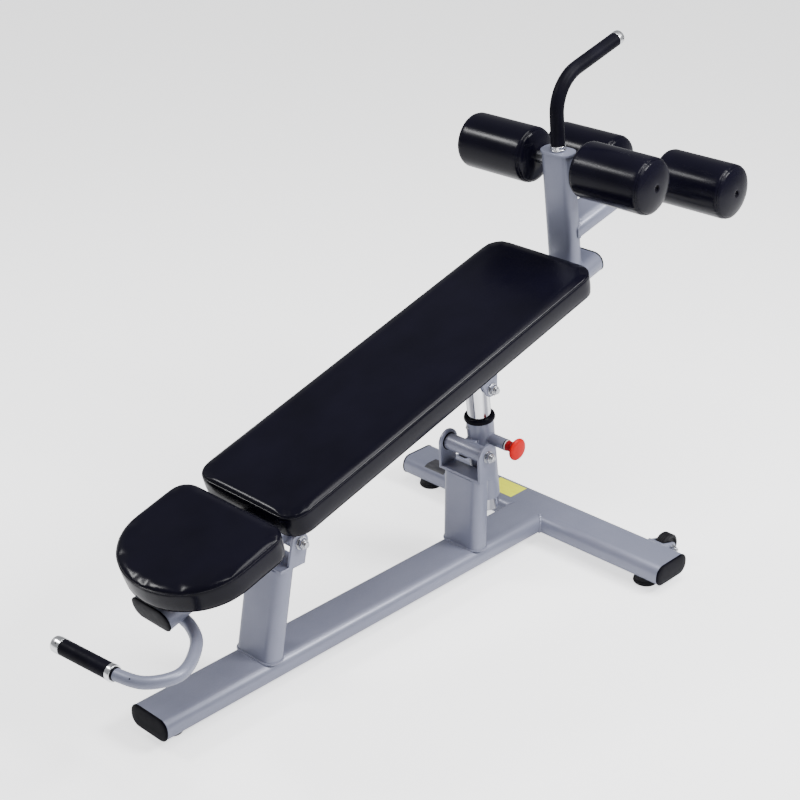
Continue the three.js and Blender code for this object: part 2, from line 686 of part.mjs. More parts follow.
function buildSleeve({ offset }) {
  const bossHole = round(LOCK.radius + 0.6, "y", -60, 0, { segments: 16 }).translate([0, 0, LOCK.height]);
  const tube = round(SLEEVE.radius, "z", SLEEVE.low, SLEEVE.high, { bore: SLEEVE.bore });
  add(sleeveGroup, "sleeve_tube", cut(tube, bossHole), frameSilver);

  const half = TRUNNION.half - 0.7;
  const trunnion = cut(
    join(
      round(TRUNNION_TUBE, "y", -half, half).translate([-offset, 0, 0]),
      block([-offset, -14, -14], [-SLEEVE.radius + 8, 14, 14]),
    ),
    round(6.6, "y", -half - 5, half + 5, { segments: 16 }).translate([-offset, 0, 0]),
    round(SLEEVE.radius + GAP, "z", -60, 60),
  );
  add(sleeveGroup, "trunnion_tube", trunnion, frameSilver);

  const lip = SLEEVE.high + GAP;
  const bushing = join(
    round(SLEEVE.bore - 0.4, "z", SLEEVE.high - 25, lip + 2, { bore: ROD.radius + 0.5 }),
    round(32.5, "z", lip, lip + 10, { bore: ROD.radius + 0.5 }),
  );
  add(sleeveGroup, "sleeve_bushing", bushing, blackPlastic);

  const boss = cut(
    round(12, "y", -BOSS_END, -SLEEVE.radius + 10),
    round(9, "y", -BOSS_END + 3, 0, { segments: 20 }),
    round(LOCK.radius + 0.6, "y", -BOSS_END - 5, 0, { segments: 16 }),
  ).translate([0, 0, LOCK.height]);
  add(sleeveGroup, "pin_boss", cut(boss, round(SLEEVE.radius + GAP, "z", -60, 60)),
    frameSilver);

  buildSpring();
}

// The pull pin's return spring, drawn at the length it has with the pin pulled right out.
function buildSpring() {
  const coils = 4;
  const coilRadius = 7.4;
  const wire = 0.9;
  const pointsPerCoil = 7;
  const outerEnd = -BOSS_END + 4.2;
  const length = 8.4;
  const points = [];
  for (let i = 0; i <= coils * pointsPerCoil; i += 1) {
    const angle = (2 * Math.PI * i) / pointsPerCoil;
    const y = outerEnd + (length * i) / (coils * pointsPerCoil);
    points.push(
      new THREE.Vector3(coilRadius * Math.cos(angle), y, LOCK.height + coilRadius * Math.sin(angle)),
    );
  }
  add(sleeveGroup, "return_spring", pipe(points, wire, coils * pointsPerCoil, 5), zincSteel);
}

function buildRod({ reach }) {
  const top = reach + ROD.topPastPin;
  const tube = round(ROD.radius, "z", ROD.low, top, { bore: ROD.radius - ROD.wall });
  const pinHole = round(7.2, "y", -40, 40, { segments: 16 }).translate([0, 0, reach]);
  const holes = [];
  for (let i = 0; i < LOCK.holes; i += 1) {
    const height = LOCK.height - i * LOCK.pitch;
    holes.push(round(LOCK.radius, "y", -40, 0, { segments: 10 }).translate([0, 0, height]));
  }
  add(sleeveGroup, "prop_rod", cut(tube, pinHole, ...holes), chrome);
}

function buildPullPin() {
  const tip = -ROD.radius - 0.6;
  const collar = -SLEEVE.radius - 8;
  const pin = join(
    round(4.8, "y", -BOSS_END - 14, tip, { segments: 16 }),
    round(8.2, "y", collar - 2.5, collar, { segments: 16 }),
  );
  add(sleeveGroup, "pull_pin", pin, zincSteel).position.z = LOCK.height;

  const neck = -BOSS_END - 1.2;
  const knob = turned([
    [0, neck - 13.5],
    [5.3, neck - 13.5],
    [5.3, neck],
    [12, neck],
    [10.5, neck - 12],
    [12, neck - 20],
    [22, neck - 25.5],
    [23.5, neck - 28.5],
    [21, neck - 32],
    [12, neck - 34.6],
    [0, neck - 35],
  ]);
  add(sleeveGroup, "pull_knob", knob, redPlastic).position.z = LOCK.height;
}

// ---------------------------------------------------------------- assembly

buildRails();
buildFeet();
buildFrontPost();
buildMidPost();
buildPivotBolts();
buildWheels();
buildBeam();
buildClevis();
buildPads();
buildPostAndArm();
buildRollers();
buildTopHandle();
buildCarryHandle();

const prop = propFoot();
sleeveGroup.position.set(prop.foot.x, 0, prop.foot.z);
buildSleeve(prop);
buildRod(prop);
buildPullPin();

// The origin is the middle of the bench's footprint, on the floor.
const extent = new THREE.Box3().setFromObject(bench, true);
const middle = extent.getCenter(new THREE.Vector3());
bench.position.set(-middle.x, -middle.y, -extent.min.z);

export default bench;
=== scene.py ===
"""Looks for the decline sit-up bench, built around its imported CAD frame.

Lengths are millimetres until a mesh is made. Bench directions are u up the incline, y across and w off
the incline, from the hinge bolt. Prop directions are across the prop, y and up it, from the trunnion.
"""

import json
from math import atan2, cos, exp, hypot, pi, radians, sin, sqrt, tan

import bmesh
import bpy
from mathutils import Matrix, Vector, noise
from mathutils.bvhtree import BVHTree


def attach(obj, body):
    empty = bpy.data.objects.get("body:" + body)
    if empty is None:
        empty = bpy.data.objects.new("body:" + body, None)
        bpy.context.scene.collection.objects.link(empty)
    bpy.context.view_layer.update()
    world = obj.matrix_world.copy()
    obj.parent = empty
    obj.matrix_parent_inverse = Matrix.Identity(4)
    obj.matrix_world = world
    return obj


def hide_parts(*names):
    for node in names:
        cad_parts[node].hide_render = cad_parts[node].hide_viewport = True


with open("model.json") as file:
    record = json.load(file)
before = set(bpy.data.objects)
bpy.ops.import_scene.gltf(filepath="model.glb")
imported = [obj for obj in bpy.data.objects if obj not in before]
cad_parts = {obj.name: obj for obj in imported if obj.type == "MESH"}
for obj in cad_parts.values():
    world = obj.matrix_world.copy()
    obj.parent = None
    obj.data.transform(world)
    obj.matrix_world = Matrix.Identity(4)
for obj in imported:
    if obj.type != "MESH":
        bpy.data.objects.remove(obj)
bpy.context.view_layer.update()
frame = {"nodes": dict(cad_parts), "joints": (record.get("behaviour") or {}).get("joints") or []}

# ---------- sizes, joints and directions

M = 0.001  # metres in a millimetre
INCLINE = radians(16.1)
MAIN = {"wide": 100, "high": 45, "corner": 20}
SLIM = {"wide": 76, "high": 41, "corner": 18}
FRONT_POST_LEAN = radians(10.3)
POST_TUBE = {"wide": 73, "high": 38, "corner": 17}
ROLLER_POST = {"u": 860, "lean": radians(7.05), "top": 326}
ARM_DROOP = radians(1.8)
SLEEVE_OFFSET = 44.47
HANDLE_RADIUS = 11.5
SIDES = [("right", -1), ("left", 1)]
GAP = 0.3  # what touching CAD pieces leave between them
WASHER = 1.7
SHARP = radians(38)

JOINTS = {joint["name"]: joint for joint in frame["joints"]}
HINGE = Vector(JOINTS["bench_tilt"]["pos_m"]) / M
TRUNNION = Vector(JOINTS["prop_swivel"]["pos_m"]) / M
PROP_UP = Vector(JOINTS["prop_slide"]["axis"])
PROP_LEAN = atan2(-PROP_UP.x, PROP_UP.z)

WORLD = Matrix.Identity(4)
BENCH = Matrix.Translation(HINGE) @ Matrix.Rotation(-INCLINE, 4, "Y")
PROP = Matrix.Translation(TRUNNION) @ Matrix.Rotation(-PROP_LEAN, 4, "Y")
ALONG_Y = Matrix.Rotation(radians(-90), 4, "X")  # takes a turned piece's axis from Z to Y
AGAINST_Y = Matrix.Rotation(radians(90), 4, "X")
Z_TO_X = Matrix.Rotation(radians(90), 4, "Y")
X_TO_Y = Matrix.Rotation(radians(90), 4, "Z")
ABOUT_FACE = Matrix.Rotation(pi, 4, "Z")
UPSIDE_DOWN = Matrix.Rotation(pi, 4, "X")


def node_box(node, directions=WORLD):
    """Lowest and highest corner of a CAD node in some directions, in millimetres."""
    back = directions.inverted()
    points = [back @ (v.co / M) for v in frame["nodes"][node].data.vertices]
    low = Vector([min(p[i] for p in points) for i in range(3)])
    high = Vector([max(p[i] for p in points) for i in range(3)])
    return low, high


# ---------- materials


def fill_in(tree, node, inputs):
    """Sets a node's inputs, each from a plain value or from another node's socket."""
    for name, value in inputs.items():
        if isinstance(value, bpy.types.NodeSocket):
            tree.links.new(value, node.inputs[name])
        else:
            node.inputs[name].default_value = value
    return node


def shader_of(name, roughness, metallic=0.0, specular=0.5, coat=0.0):
    """A new material with its plain numbers set, and its tree and Principled shader."""
    material = bpy.data.materials.new(name)
    material.use_nodes = True
    tree = material.node_tree
    shader = fill_in(tree, tree.nodes["Principled BSDF"], {
        "Roughness": roughness, "Metallic": metallic, "Specular IOR Level": specular,
        "Coat Weight": coat, "Coat Roughness": 0.15})
    return material, tree, shader


def place_vector(tree, stretch=(1, 1, 1)):
    """The point on the object in metres, optionally stretched."""
    point = tree.nodes.new("ShaderNodeTexCoord").outputs["Object"]
    mapping = tree.nodes.new("ShaderNodeMapping")
    return fill_in(tree, mapping, {"Scale": stretch, "Vector": point}).outputs["Vector"]


def noise_of(tree, vector, scale, detail=3.0, rough=0.5):
    node = tree.nodes.new("ShaderNodeTexNoise")
    fill_in(tree, node, {"Scale": scale, "Detail": detail, "Roughness": rough, "Vector": vector})
    return node.outputs["Fac"]


def ramp_of(tree, value, stops):
    """A colour ramp from (place, colour) stops."""
    node = tree.nodes.new("ShaderNodeValToRGB")
    elements = node.color_ramp.elements
    while len(elements) < len(stops):
        elements.new(0.5)
    for element, (place, colour) in zip(elements, stops):
        element.position = place
        element.color = (*colour, 1)
    tree.links.new(value, node.inputs["Fac"])
    return node.outputs["Color"]


def tint_of(tree, value, dark, light):
    """A soft mix of two close colours."""
    return ramp_of(tree, value, [(0.3, dark), (0.7, light)])


def range_of(tree, value, low, high, start=0.3, end=0.7):
    node = tree.nodes.new("ShaderNodeMapRange")
    fill_in(tree, node, {"From Min": start, "From Max": end, "To Min": low, "To Max": high, "Value": value})
    return node.outputs["Result"]


def lit_or_seen(tree, lit, seen):
    """A strength that is one number as a light and another where the camera sees it."""
    path = tree.nodes.new("ShaderNodeLightPath")
    return range_of(tree, path.outputs["Is Camera Ray"], lit, seen, 0, 1)


def bump_of(tree, shader, layers):
    """Stacks (height, strength, depth in mm) layers of relief onto a shader."""
    normal = {}
    for height, strength, depth in layers:
        node = tree.nodes.new("ShaderNodeBump")
        fill_in(tree, node, {"Strength": strength, "Distance": depth * M, "Height": height, **normal})
        normal = {"Normal": node.outputs["Normal"]}
    fill_in(tree, shader, normal)


def product_of(tree, first, second):
    """Two colours multiplied."""
    node = tree.nodes.new("ShaderNodeMix")
    node.data_type = "RGBA"
    node.blend_type = "MULTIPLY"
    node.inputs["Factor"].default_value = 1.0
    tree.links.new(first, node.inputs["A"])
    tree.links.new(second, node.inputs["B"])
    return node.outputs["Result"]


def powder_coat():
    material, tree, shader = shader_of("silver_powder_coat", 0.4, metallic=0.25, specular=0.5, coat=0.12)
    vector = place_vector(tree)
    flake = noise_of(tree, vector, 2600, 1)
    cloud = noise_of(tree, vector, 7)
    tint = tint_of(tree, cloud, (0.185, 0.196, 0.262), (0.215, 0.227, 0.298))
    sparkle = ramp_of(tree, flake, [(0.45, (0.92, 0.92, 0.93)), (0.72, (1.25, 1.25, 1.28))])
    smear = noise_of(tree, place_vector(tree, (12, 60, 60)), 1, 4)
    worn = range_of(tree, smear, 0.36, 0.46)
    fill_in(tree, shader, {"Base Color": product_of(tree, tint, sparkle), "Roughness": worn})
    peel = noise_of(tree, vector, 420, 2)
    bump_of(tree, shader, [(peel, 0.18, 0.12), (flake, 0.1, 0.03)])
    return material


def vinyl():
    material, tree, shader = shader_of("black_vinyl", 0.23, specular=0.14)
    vector = place_vector(tree)
    tint = tint_of(tree, noise_of(tree, vector, 9), (0.0023, 0.0021, 0.0058), (0.0038, 0.0034, 0.009))
    handled = noise_of(tree, vector, 14, 2)
    fill_in(tree, shader, {"Base Color": tint, "Roughness": range_of(tree, handled, 0.2, 0.25)})
    grain = tree.nodes.new("ShaderNodeTexVoronoi")
    grain.feature = "DISTANCE_TO_EDGE"
    fill_in(tree, grain, {"Scale": 620, "Vector": vector})
    creases = ramp_of(tree, grain.outputs["Distance"], [(0.0, (0, 0, 0)), (0.16, (1, 1, 1))])
    soft = noise_of(tree, vector, 75)
    bump_of(tree, shader, [(soft, 0.1, 0.45), (creases, 0.08, 0.03)])
    return material


def moulded(name, dark, light, roughness, grain_scale, grain_depth, specular=0.4):
    """A moulded plastic or rubber: a slightly uneven colour and a fine spark-eroded grain."""
    material, tree, shader = shader_of(name, roughness, specular=specular)
    vector = place_vector(tree)
    tint = tint_of(tree, noise_of(tree, vector, 30), dark, light)
    worn = range_of(tree, noise_of(tree, vector, 90, 4), roughness - 0.05, roughness + 0.08)
    fill_in(tree, shader, {"Base Color": tint, "Roughness": worn})
    bump_of(tree, shader, [(noise_of(tree, vector, grain_scale, 2), 0.35, grain_depth)])
    return material


def metal(name, dark, light, roughness, brushed, painted_reflection_bands=None):
    """A plated metal with hairline marks that run along its stretch; with painted reflection bands, its
    colour is lightened and darkened by how squarely it faces the camera.
    """
    material, tree, shader = shader_of(name, roughness, metallic=1.0)
    colour = tint_of(tree, noise_of(tree, place_vector(tree), 40), dark, light)
    # Painted reflections: the colour is multiplied by bright and dark bands that follow how squarely the
    # surface faces the camera.
    if painted_reflection_bands:
        tilt = tree.nodes.new("ShaderNodeLayerWeight")
        fill_in(tree, tilt, {"Blend": 0.5})
        colour = product_of(tree, colour, ramp_of(tree, tilt.outputs["Facing"], painted_reflection_bands))
    hairlines = noise_of(tree, place_vector(tree, brushed), 1, 3, 0.6)
    worn = range_of(tree, hairlines, roughness * 0.8, roughness * 1.35)
    fill_in(tree, shader, {"Base Color": colour, "Roughness": worn})
    bump_of(tree, shader, [(hairlines, 0.08, 0.05)])
    return material


def plywood():
    material, tree, shader = shader_of("pad_plywood", 0.75, specular=0.3)
    along = noise_of(tree, place_vector(tree, (5, 90, 60)), 1, 6, 0.65)
    colours = [(0.3, (0.30, 0.19, 0.09)), (0.5, (0.45, 0.30, 0.16)), (0.7, (0.53, 0.38, 0.22))]
    fill_in(tree, shader, {"Base Color": ramp_of(tree, along, colours)})
    fibres = noise_of(tree, place_vector(tree, (60, 1400, 900)), 1)
    bump_of(tree, shader, [(along, 0.3, 0.2), (fibres, 0.25, 0.1)])
    return material


def sticker(name, colour, darker):
    """A plain printed foil: its colour with faint rub marks."""
    material, tree, shader = shader_of(name, 0.35, specular=0.4)
    rubbed = noise_of(tree, place_vector(tree, (140, 40, 40)), 1, 5)
    fill_in(tree, shader, {"Base Color": ramp_of(tree, rubbed, [(0.25, darker), (0.55, colour)])})
    bump_of(tree, shader, [(rubbed, 0.1, 0.05)])
    return material


# Painted reflections for chrome: bright and dark bands by facing, standing in for the studio it reflects.
CHROME_PAINTED_REFLECTIONS = [
    (0.0, (1, 1, 1)), (0.16, (0.95, 0.95, 0.96)), (0.25, (0.26, 0.26, 0.29)), (0.37, (0.34, 0.34, 0.37)),
    (0.46, (0.88, 0.88, 0.9)), (0.66, (0.95, 0.95, 0.97)), (0.76, (0.3, 0.3, 0.33)), (1.0, (0.6, 0.6, 0.62)),
]

MOULDED = {  # material, slot, dark and light colour, roughness, scale and depth of the grain, specular
    "rubber": ("black_rubber", "rubber", (0.005, 0.0048, 0.0065), (0.009, 0.0085, 0.011), 0.55, 800,
               0.25, 0.2),
    "grip": ("foam_grip", "rubber", (0.003, 0.0028, 0.006), (0.005, 0.0047, 0.0095), 0.46, 520, 0.16, 0.06),
    "plastic": ("black_plastic", "black_plastic", (0.002, 0.0019, 0.0042), (0.0035, 0.0033, 0.007), 0.36,
                1100, 0.05, 0.05),
    "red": ("red_plastic", "red_plastic", (0.50, 0.002, 0.003), (0.56, 0.003, 0.005), 0.34, 900, 0.05, 0.12),
    "dark_red": ("dark_red_plastic", "red_plastic", (0.24, 0.003, 0.006), (0.30, 0.004, 0.008), 0.35, 900,
                 0.05, 0.2),
    "white": ("white_nylon", "black_plastic", (0.72, 0.72, 0.72), (0.8, 0.8, 0.8), 0.45, 900, 0.05),
}
METALS = {  # material, slot, dark and light colour, roughness, stretch of the hairlines, painted reflection bands
    "chrome": ("chrome_plate", "chrome", (0.78, 0.79, 0.81), (0.86, 0.87, 0.89), 0.09, (30, 30, 500),
               CHROME_PAINTED_REFLECTIONS),
    "zinc": ("zinc_plate", "zinc_steel", (0.36, 0.37, 0.40), (0.50, 0.51, 0.54), 0.26, (900, 60, 900)),
    "satin": ("satin_cap", "chrome", (0.80, 0.81, 0.83), (0.88, 0.89, 0.91), 0.22, (60, 700, 700)),
}
LOOKS = {  # a material and the slot it belongs to
    "powder": (powder_coat(), "frame_silver"),
    "vinyl": (vinyl(), "vinyl"),
    "plywood": (plywood(), "plywood"),
    "yellow": (sticker("yellow_foil", (0.93, 0.96, 0.03), (0.84, 0.86, 0.03)), "frame_silver"),
    "ink": (sticker("dark_foil", (0.03, 0.03, 0.036), (0.055, 0.055, 0.062)), "frame_silver"),
}
for make, kinds in ((moulded, MOULDED), (metal, METALS)):
    for look, (name, slot, *numbers) in kinds.items():
        LOOKS[look] = (make(name, *numbers), slot)

# ---------- shapes: a part is (points, faces)


def loft(rings, closed_ends=True, loop=False):
    """A skin over rings that have the same number of points each."""
    count = len(rings[0])
    points = [Vector(p) for ring in rings for p in ring]
    faces = []
    for i in range(len(rings) if loop else len(rings) - 1):
        a, b = i * count, ((i + 1) % len(rings)) * count
        faces += [(a + k, a + (k + 1) % count, b + (k + 1) % count, b + k) for k in range(count)]
    if closed_ends and not loop:
        faces.append(tuple(reversed(range(count))))
        faces.append(tuple(range(len(points) - count, len(points))))
    return points, faces


def together(*parts):
    points, faces = [], []
    for more_points, more_faces in parts:
        faces += [tuple(i + len(points) for i in face) for face in more_faces]
        points += more_points
    return points, faces


def moved(part, matrix):
    return [matrix @ p for p in part[0]], part[1]


def shifted(x, y, z):
    return Matrix.Translation((x, y, z))


def around(count):
    """The angles of evenly spaced points on a circle."""
    return [2 * pi * k / count for k in range(count)]


def arc(x, y, radius, start, end, steps=14):
    """Points on an arc, angles in radians."""
    angles = [start + (end - start) * k / steps for k in range(steps + 1)]
    return [(x + radius * cos(a), y + radius * sin(a)) for a in angles]


def rounded(a, b, radius, steps=8):
    """Outline of a rectangle with round corners about (a, b) and its mirror images."""
    outline = []
    for quarter, (x, y) in enumerate([(a, b), (-a, b), (-a, -b), (a, -b)]):
        outline += arc(x, y, radius, radians(90 * quarter), radians(90 * quarter + 90), steps)
    return outline


def oval(section, inset=0.0):
    """Outline of a flat-oval tube, its width along the first direction."""
    corner = section["corner"]
    return rounded(section["wide"] / 2 - corner, section["high"] / 2 - corner, corner - inset)


def frame_tube(section, start, end, rim=0.8, far_rim=0.8):
    """A flat-oval tube along X with its width along Y and softly broken end edges."""
    stations = [(start, rim), (start + rim * 0.3, rim * 0.3), (start + rim, 0)]
    stations += [(end - 1, 0), (end - far_rim * 0.3, far_rim * 0.3), (end, far_rim)]
    return loft([[(x, a, b) for a, b in oval(section, inset)] for x, inset in stations])


def leaning_tube(section, foot, low, high, lean):
    """A tube that leans along X, cut level at both ends, its width along Y."""
    rings = []
    for z in (low, high):
        x = foot + (z - low) * tan(lean)
        rings.append([(x + b / cos(lean), a, z) for a, b in oval(section)])
    return loft(rings)


def fillet(corners, steps=4):
    """A polyline with each (x, y, radius) corner rounded."""
    points = []
    for i, (x, y, radius) in enumerate(corners):
        here = Vector((x, y))
        if radius == 0 or i in (0, len(corners) - 1):
            points.append(here)
            continue
        back = Vector(corners[i - 1][:2]) - here
        onward = Vector(corners[i + 1][:2]) - here
        reach = min(radius, back.length * 0.49, onward.length * 0.49)
        start, end = here + back.normalized() * reach, here + onward.normalized() * reach
        for k in range(steps + 1):
            t = k / steps
            points.append((1 - t) ** 2 * start + 2 * t * (1 - t) * here + t * t * end)
    return points


def turned(corners, segments=48, steps=4):
    """A piece turned about Z from (radius, height, rounding) corners."""
    rings = []
    for radius, height in fillet(corners, steps):
        radius = max(radius, 0.001)
        rings.append([(radius * cos(a), radius * sin(a), height) for a in around(segments)])
    return loft(rings)


def ring_part(corners, segments=64, steps=4):
    """A ring about Z from a closed profile of (radius, height, rounding) corners, starting on a straight."""
    profile = fillet([*corners, corners[0]], steps)[:-1]
    rings = [[(r * cos(a), r * sin(a), z) for r, z in profile] for a in around(segments)]
    return loft(rings, loop=True)


def washer(outer, inner, low, high, rim=0.4, segments=48):
    """A ring about Z."""
    corners = [(outer, low, rim), (outer, high, rim), (inner, high, rim), (inner, low, rim)]
    return ring_part([((inner + outer) / 2, low, 0), *corners], segments, steps=3)


def outward_of(outline):
    """The way out of a convex outline at each of its points."""
    middle = sum((Vector(p) for p in outline), Vector((0, 0))) / len(outline)
    outward = []
    for i, point in enumerate(outline):
        along = Vector(outline[(i + 1) % len(outline)]) - Vector(outline[i - 1])
        normal = Vector((along.y, -along.x)).normalized()
        outward.append(normal if normal.dot(Vector(point) - middle) > 0 else -normal)
    return outward


def slab(outline, low, high, rim):
    """A flat piece in the X-Y plane between two heights, its edges rounded, from a convex outline."""
    quarter = [radians(22.5 * k) for k in range(5)]
    rims = [(rim * (1 - sin(a)), rim * (1 - cos(a))) for a in quarter]
    stations = [(low + rise, inset) for rise, inset in reversed(rims)]
    stations += [(high - rise, inset) for rise, inset in rims]
    outward = outward_of(outline)
    rings = []
    for height, inset in stations:
        edge = [Vector(p) - way * inset for p, way in zip(outline, outward)]
        rings.append([(p.x, p.y, height) for p in edge])
    return loft(rings)


def box_part(low, high, rim=0.8):
    """A block with rounded edges."""
    a, b = (high[0] - low[0]) / 2, (high[1] - low[1]) / 2
    outline = [(low[0] + a + x, low[1] + b + y) for x, y in rounded(a - rim, b - rim, rim, 3)]
    return slab(outline, low[2], high[2], rim)


def standing(part):
    """Stands a part drawn in the X-Y plane up in the X-Z plane, its height along -Y."""
    return moved(part, AGAINST_Y)


def cheeks(outline, outside, thick=6, rim=0.9):
    """Two plates drawn in the X-Z plane, their outer faces at outside on either side."""
    plate = standing(slab(outline, 0, thick, rim))
    return [moved(plate, shifted(0, y, 0)) for y in (-outside + thick, outside)]


def sweep(path, radius, segments=16, loop=False):
    """A round bar along a path; radius is a number or a function of the ring's index."""
    path = [Vector(p) for p in path]
    count = len(path)
    rings, side = [], None
    for i, point in enumerate(path):
        ahead = path[(i + 1) % count] if loop or i + 1 < count else point
        behind = path[i - 1] if loop or i > 0 else point
        along = (ahead - behind).normalized()
        if side is None:
            side = along.orthogonal().normalized()
        side = (side - along * side.dot(along)).normalized()
        other = along.cross(side)
        r = radius(i) if callable(radius) else radius
        rings.append([point + side * (r * cos(a)) + other * (r * sin(a)) for a in around(segments)])
    return loft(rings, loop=loop)


def evenly(path, step, loop=True):
    """Points at even steps along a path."""
    path = [Vector(p) for p in path]
    if loop:
        path.append(path[0])
    lengths = [0.0]
    for a, b in zip(path, path[1:]):
        lengths.append(lengths[-1] + (b - a).length)
    count = max(8, round(lengths[-1] / step))
    made, k = [], 0
    for i in range(count if loop else count + 1):
        target = lengths[-1] * i / count
        while k < len(path) - 2 and lengths[k + 1] < target:
            k += 1
        span = lengths[k + 1] - lengths[k]
        made.append(path[k].lerp(path[k + 1], (target - lengths[k]) / span if span else 0))
    return made


def weld(path, radius=2.8, loop=True):
    """A weld bead: a lumpy bar along a joint, with the ripples of the moving torch."""
    points = evenly(path, 1.0, loop)
    uneven = [1 + 0.10 * sin(i * 1.35) + 0.22 * noise.noise(p * 0.11) for i, p in enumerate(points)]
    return sweep(points, lambda i: radius * uneven[i], 8, loop)


def spline(points, per_span=10):
    """A smooth centripetal curve through points, straight on at both ends."""
    points = [Vector(p) for p in points]
    padded = [2 * points[0] - points[1], *points, 2 * points[-1] - points[-2]]
    made = []
    for i in range(1, len(padded) - 2):
        p0, p1, p2, p3 = padded[i - 1:i + 3]
        knots = [0.0]
        for a, b in ((p0, p1), (p1, p2), (p2, p3)):
            knots.append(knots[-1] + sqrt((b - a).length))
        t0, t1, t2, t3 = knots
        for k in range(per_span):
            t = t1 + (t2 - t1) * k / per_span
            a1 = p0.lerp(p1, (t - t0) / (t1 - t0))
            a2 = p1.lerp(p2, (t - t1) / (t2 - t1))
            a3 = p2.lerp(p3, (t - t2) / (t3 - t2))
            b1, b2 = a1.lerp(a2, (t - t0) / (t2 - t0)), a2.lerp(a3, (t - t1) / (t3 - t1))
            made.append(b1.lerp(b2, (t - t1) / (t2 - t1)))
    return [*made, points[-1]]


def length_of(path):
    return sum((b - a).length for a, b in zip(path, path[1:]))


def stretch_of(path, start, end):
    """The part of a path between two lengths along it."""
    points = evenly(path, 3.0, loop=False)
    step = length_of(points) / (len(points) - 1)
    inside = [p for i, p in enumerate(points) if start < i * step < end]

    def at(length):
        k = min(max(length / step, 0), len(points) - 1.001)
        return points[int(k)].lerp(points[int(k) + 1], k - int(k))

    return [at(start), *inside, at(end)]


# ---------- pieces


def mesh_of(name, part):
    """A clean mesh in metres, smooth but for its sharp edges."""
    mesh = bpy.data.meshes.new(name)
    mesh.from_pydata([p * M for p in part[0]], [], part[1])
    shape = bmesh.new()
    shape.from_mesh(mesh)
    bmesh.ops.remove_doubles(shape, verts=shape.verts, dist=0.000005)
    bmesh.ops.recalc_face_normals(shape, faces=shape.faces)
    shape.to_mesh(mesh)
    shape.free()
    mesh.shade_smooth()
    mesh.set_sharp_from_angle(angle=SHARP)
    return mesh


def add_object(name, data):
    made = bpy.data.objects.new(name, data)
    bpy.context.scene.collection.objects.link(made)
    return made


def show(name, mesh, body, look, replaces=()):
    """Adds a mesh to the scene as a piece on a body."""
    piece = add_object(name, mesh)
    material, slot = LOOKS[look]
    if not mesh.materials:
        mesh.materials.append(material)
    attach(piece, body)
    if replaces:
        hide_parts(*replaces)
    return piece


def piece(name, part, body, look, directions=WORLD, replaces=()):
    """Builds and shows a part that is drawn in some directions."""
    return show(name, mesh_of(name, moved(part, directions)), body, look, replaces)


def cut_from(mesh, cutter):
    """A mesh with a cutter part taken out of it."""
    solid = add_object("solid", mesh)
    tool = add_object("tool", mesh_of("tool", cutter))
    cut = solid.modifiers.new("cut", "BOOLEAN")
    cut.object = tool
    cut.operation = "DIFFERENCE"
    cut.solver = "EXACT"
    apply_modifiers(solid)
    made = solid.data
    for obj in (solid, tool):
        bpy.data.objects.remove(obj)
    made.name = mesh.name
    made.set_sharp_from_angle(angle=SHARP)
    return made


def keep(node, look):
    """Keeps a CAD node on show, smooth but for its bevelled edges, with a finished material."""
    shown = frame["nodes"][node]
    welded = shown.modifiers.new("weld", "WELD")
    welded.merge_threshold = 0.00001
    for polygon in shown.data.polygons:
        polygon.use_smooth = True
    flat_normals = shown.data.attributes.get("custom_normal")
    if flat_normals:
        shown.data.attributes.remove(flat_normals)
    edges = shown.modifiers.new("edges", "BEVEL")
    edges.limit_method = "ANGLE"
    edges.angle_limit = radians(40)
    edges.width = 0.0005
    edges.segments = 2
    edges.harden_normals = True
    shown.data.materials.clear()
    shown.data.materials.append(LOOKS[look][0])


# ---------- camera, light and floor


def aim(obj, place, direction):
    """Puts a camera or a lamp in its place, looking along a direction."""
    obj.location = place
    obj.rotation_mode = "QUATERNION"
    obj.rotation_quaternion = Vector(direction).to_track_quat("-Z", "Y")


def build_studio():
    camera = add_object("camera", bpy.data.cameras.new("camera"))
    aim(camera, (-2.1590, -2.0633, 1.8802), (0.649, 0.6285, -0.4287))
    camera.data.lens = 77.28
    camera.data.sensor_width = 36
    camera.data.shift_x = 0.00996
    camera.data.shift_y = -0.00256
    camera.data.clip_end = 60
    bpy.context.scene.camera = camera

    world = bpy.data.worlds.new("studio")
    bpy.context.scene.world = world
    world.use_nodes = True
    tree = world.node_tree
    strength = lit_or_seen(tree, 0.33, 0.9)
    fill_in(tree, tree.nodes["Background"], {"Color": (0.93, 0.94, 0.97, 1), "Strength": strength})

    softboxes = [  # name, place, what it points at, width, height, power
        ("overhead", (0.1, -0.7, 3.4), (0, 0, 0.4), 2.2, 1.6, 110),
        ("key", (1.3, -2.6, 2.9), (0, 0, 0.5), 1.3, 1.0, 165),
        ("rim", (-1.5, 2.2, 2.8), (0, 0, 0.5), 0.9, 0.4, 50),
    ]
    for name, place, target, wide, high, power in softboxes:
        light = bpy.data.lights.new(name, "AREA")
        light.shape = "RECTANGLE"
        light.size = wide
        light.size_y = high
        light.energy = power
        aim(add_object(name, light), place, Vector(target) - Vector(place))

    half = 20
    mesh = bpy.data.meshes.new("floor")
    corners = [(-half, -half, 0), (half, -half, 0), (half, half, 0), (-half, half, 0)]
    mesh.from_pydata(corners, [], [(0, 1, 2, 3)])
    floor = add_object("floor", mesh)
    material, tree, shader = shader_of("pale_floor", 0.9, specular=0.1)
    glow = lit_or_seen(tree, 0.24, 1.5)
    fill_in(tree, shader, {"Base Color": (0.93, 0.93, 0.94, 1), "Emission Color": (1, 1, 1, 1),
                           "Emission Strength": glow})
    mesh.materials.append(material)


# ---------- fasteners


def hexagon(across, low, high):
    """A hexagon head or nut about Z with chamfered corners."""
    rings = []
    for height, share in ((low, 0.93), (low + 0.5, 1), (high - 0.9, 1), (high - 0.25, 0.95), (high, 0.86)):
        radius = across / sqrt(3) * share
        rings.append([(radius * cos(a), radius * sin(a), height) for a in around(6)])
    return loft(rings)


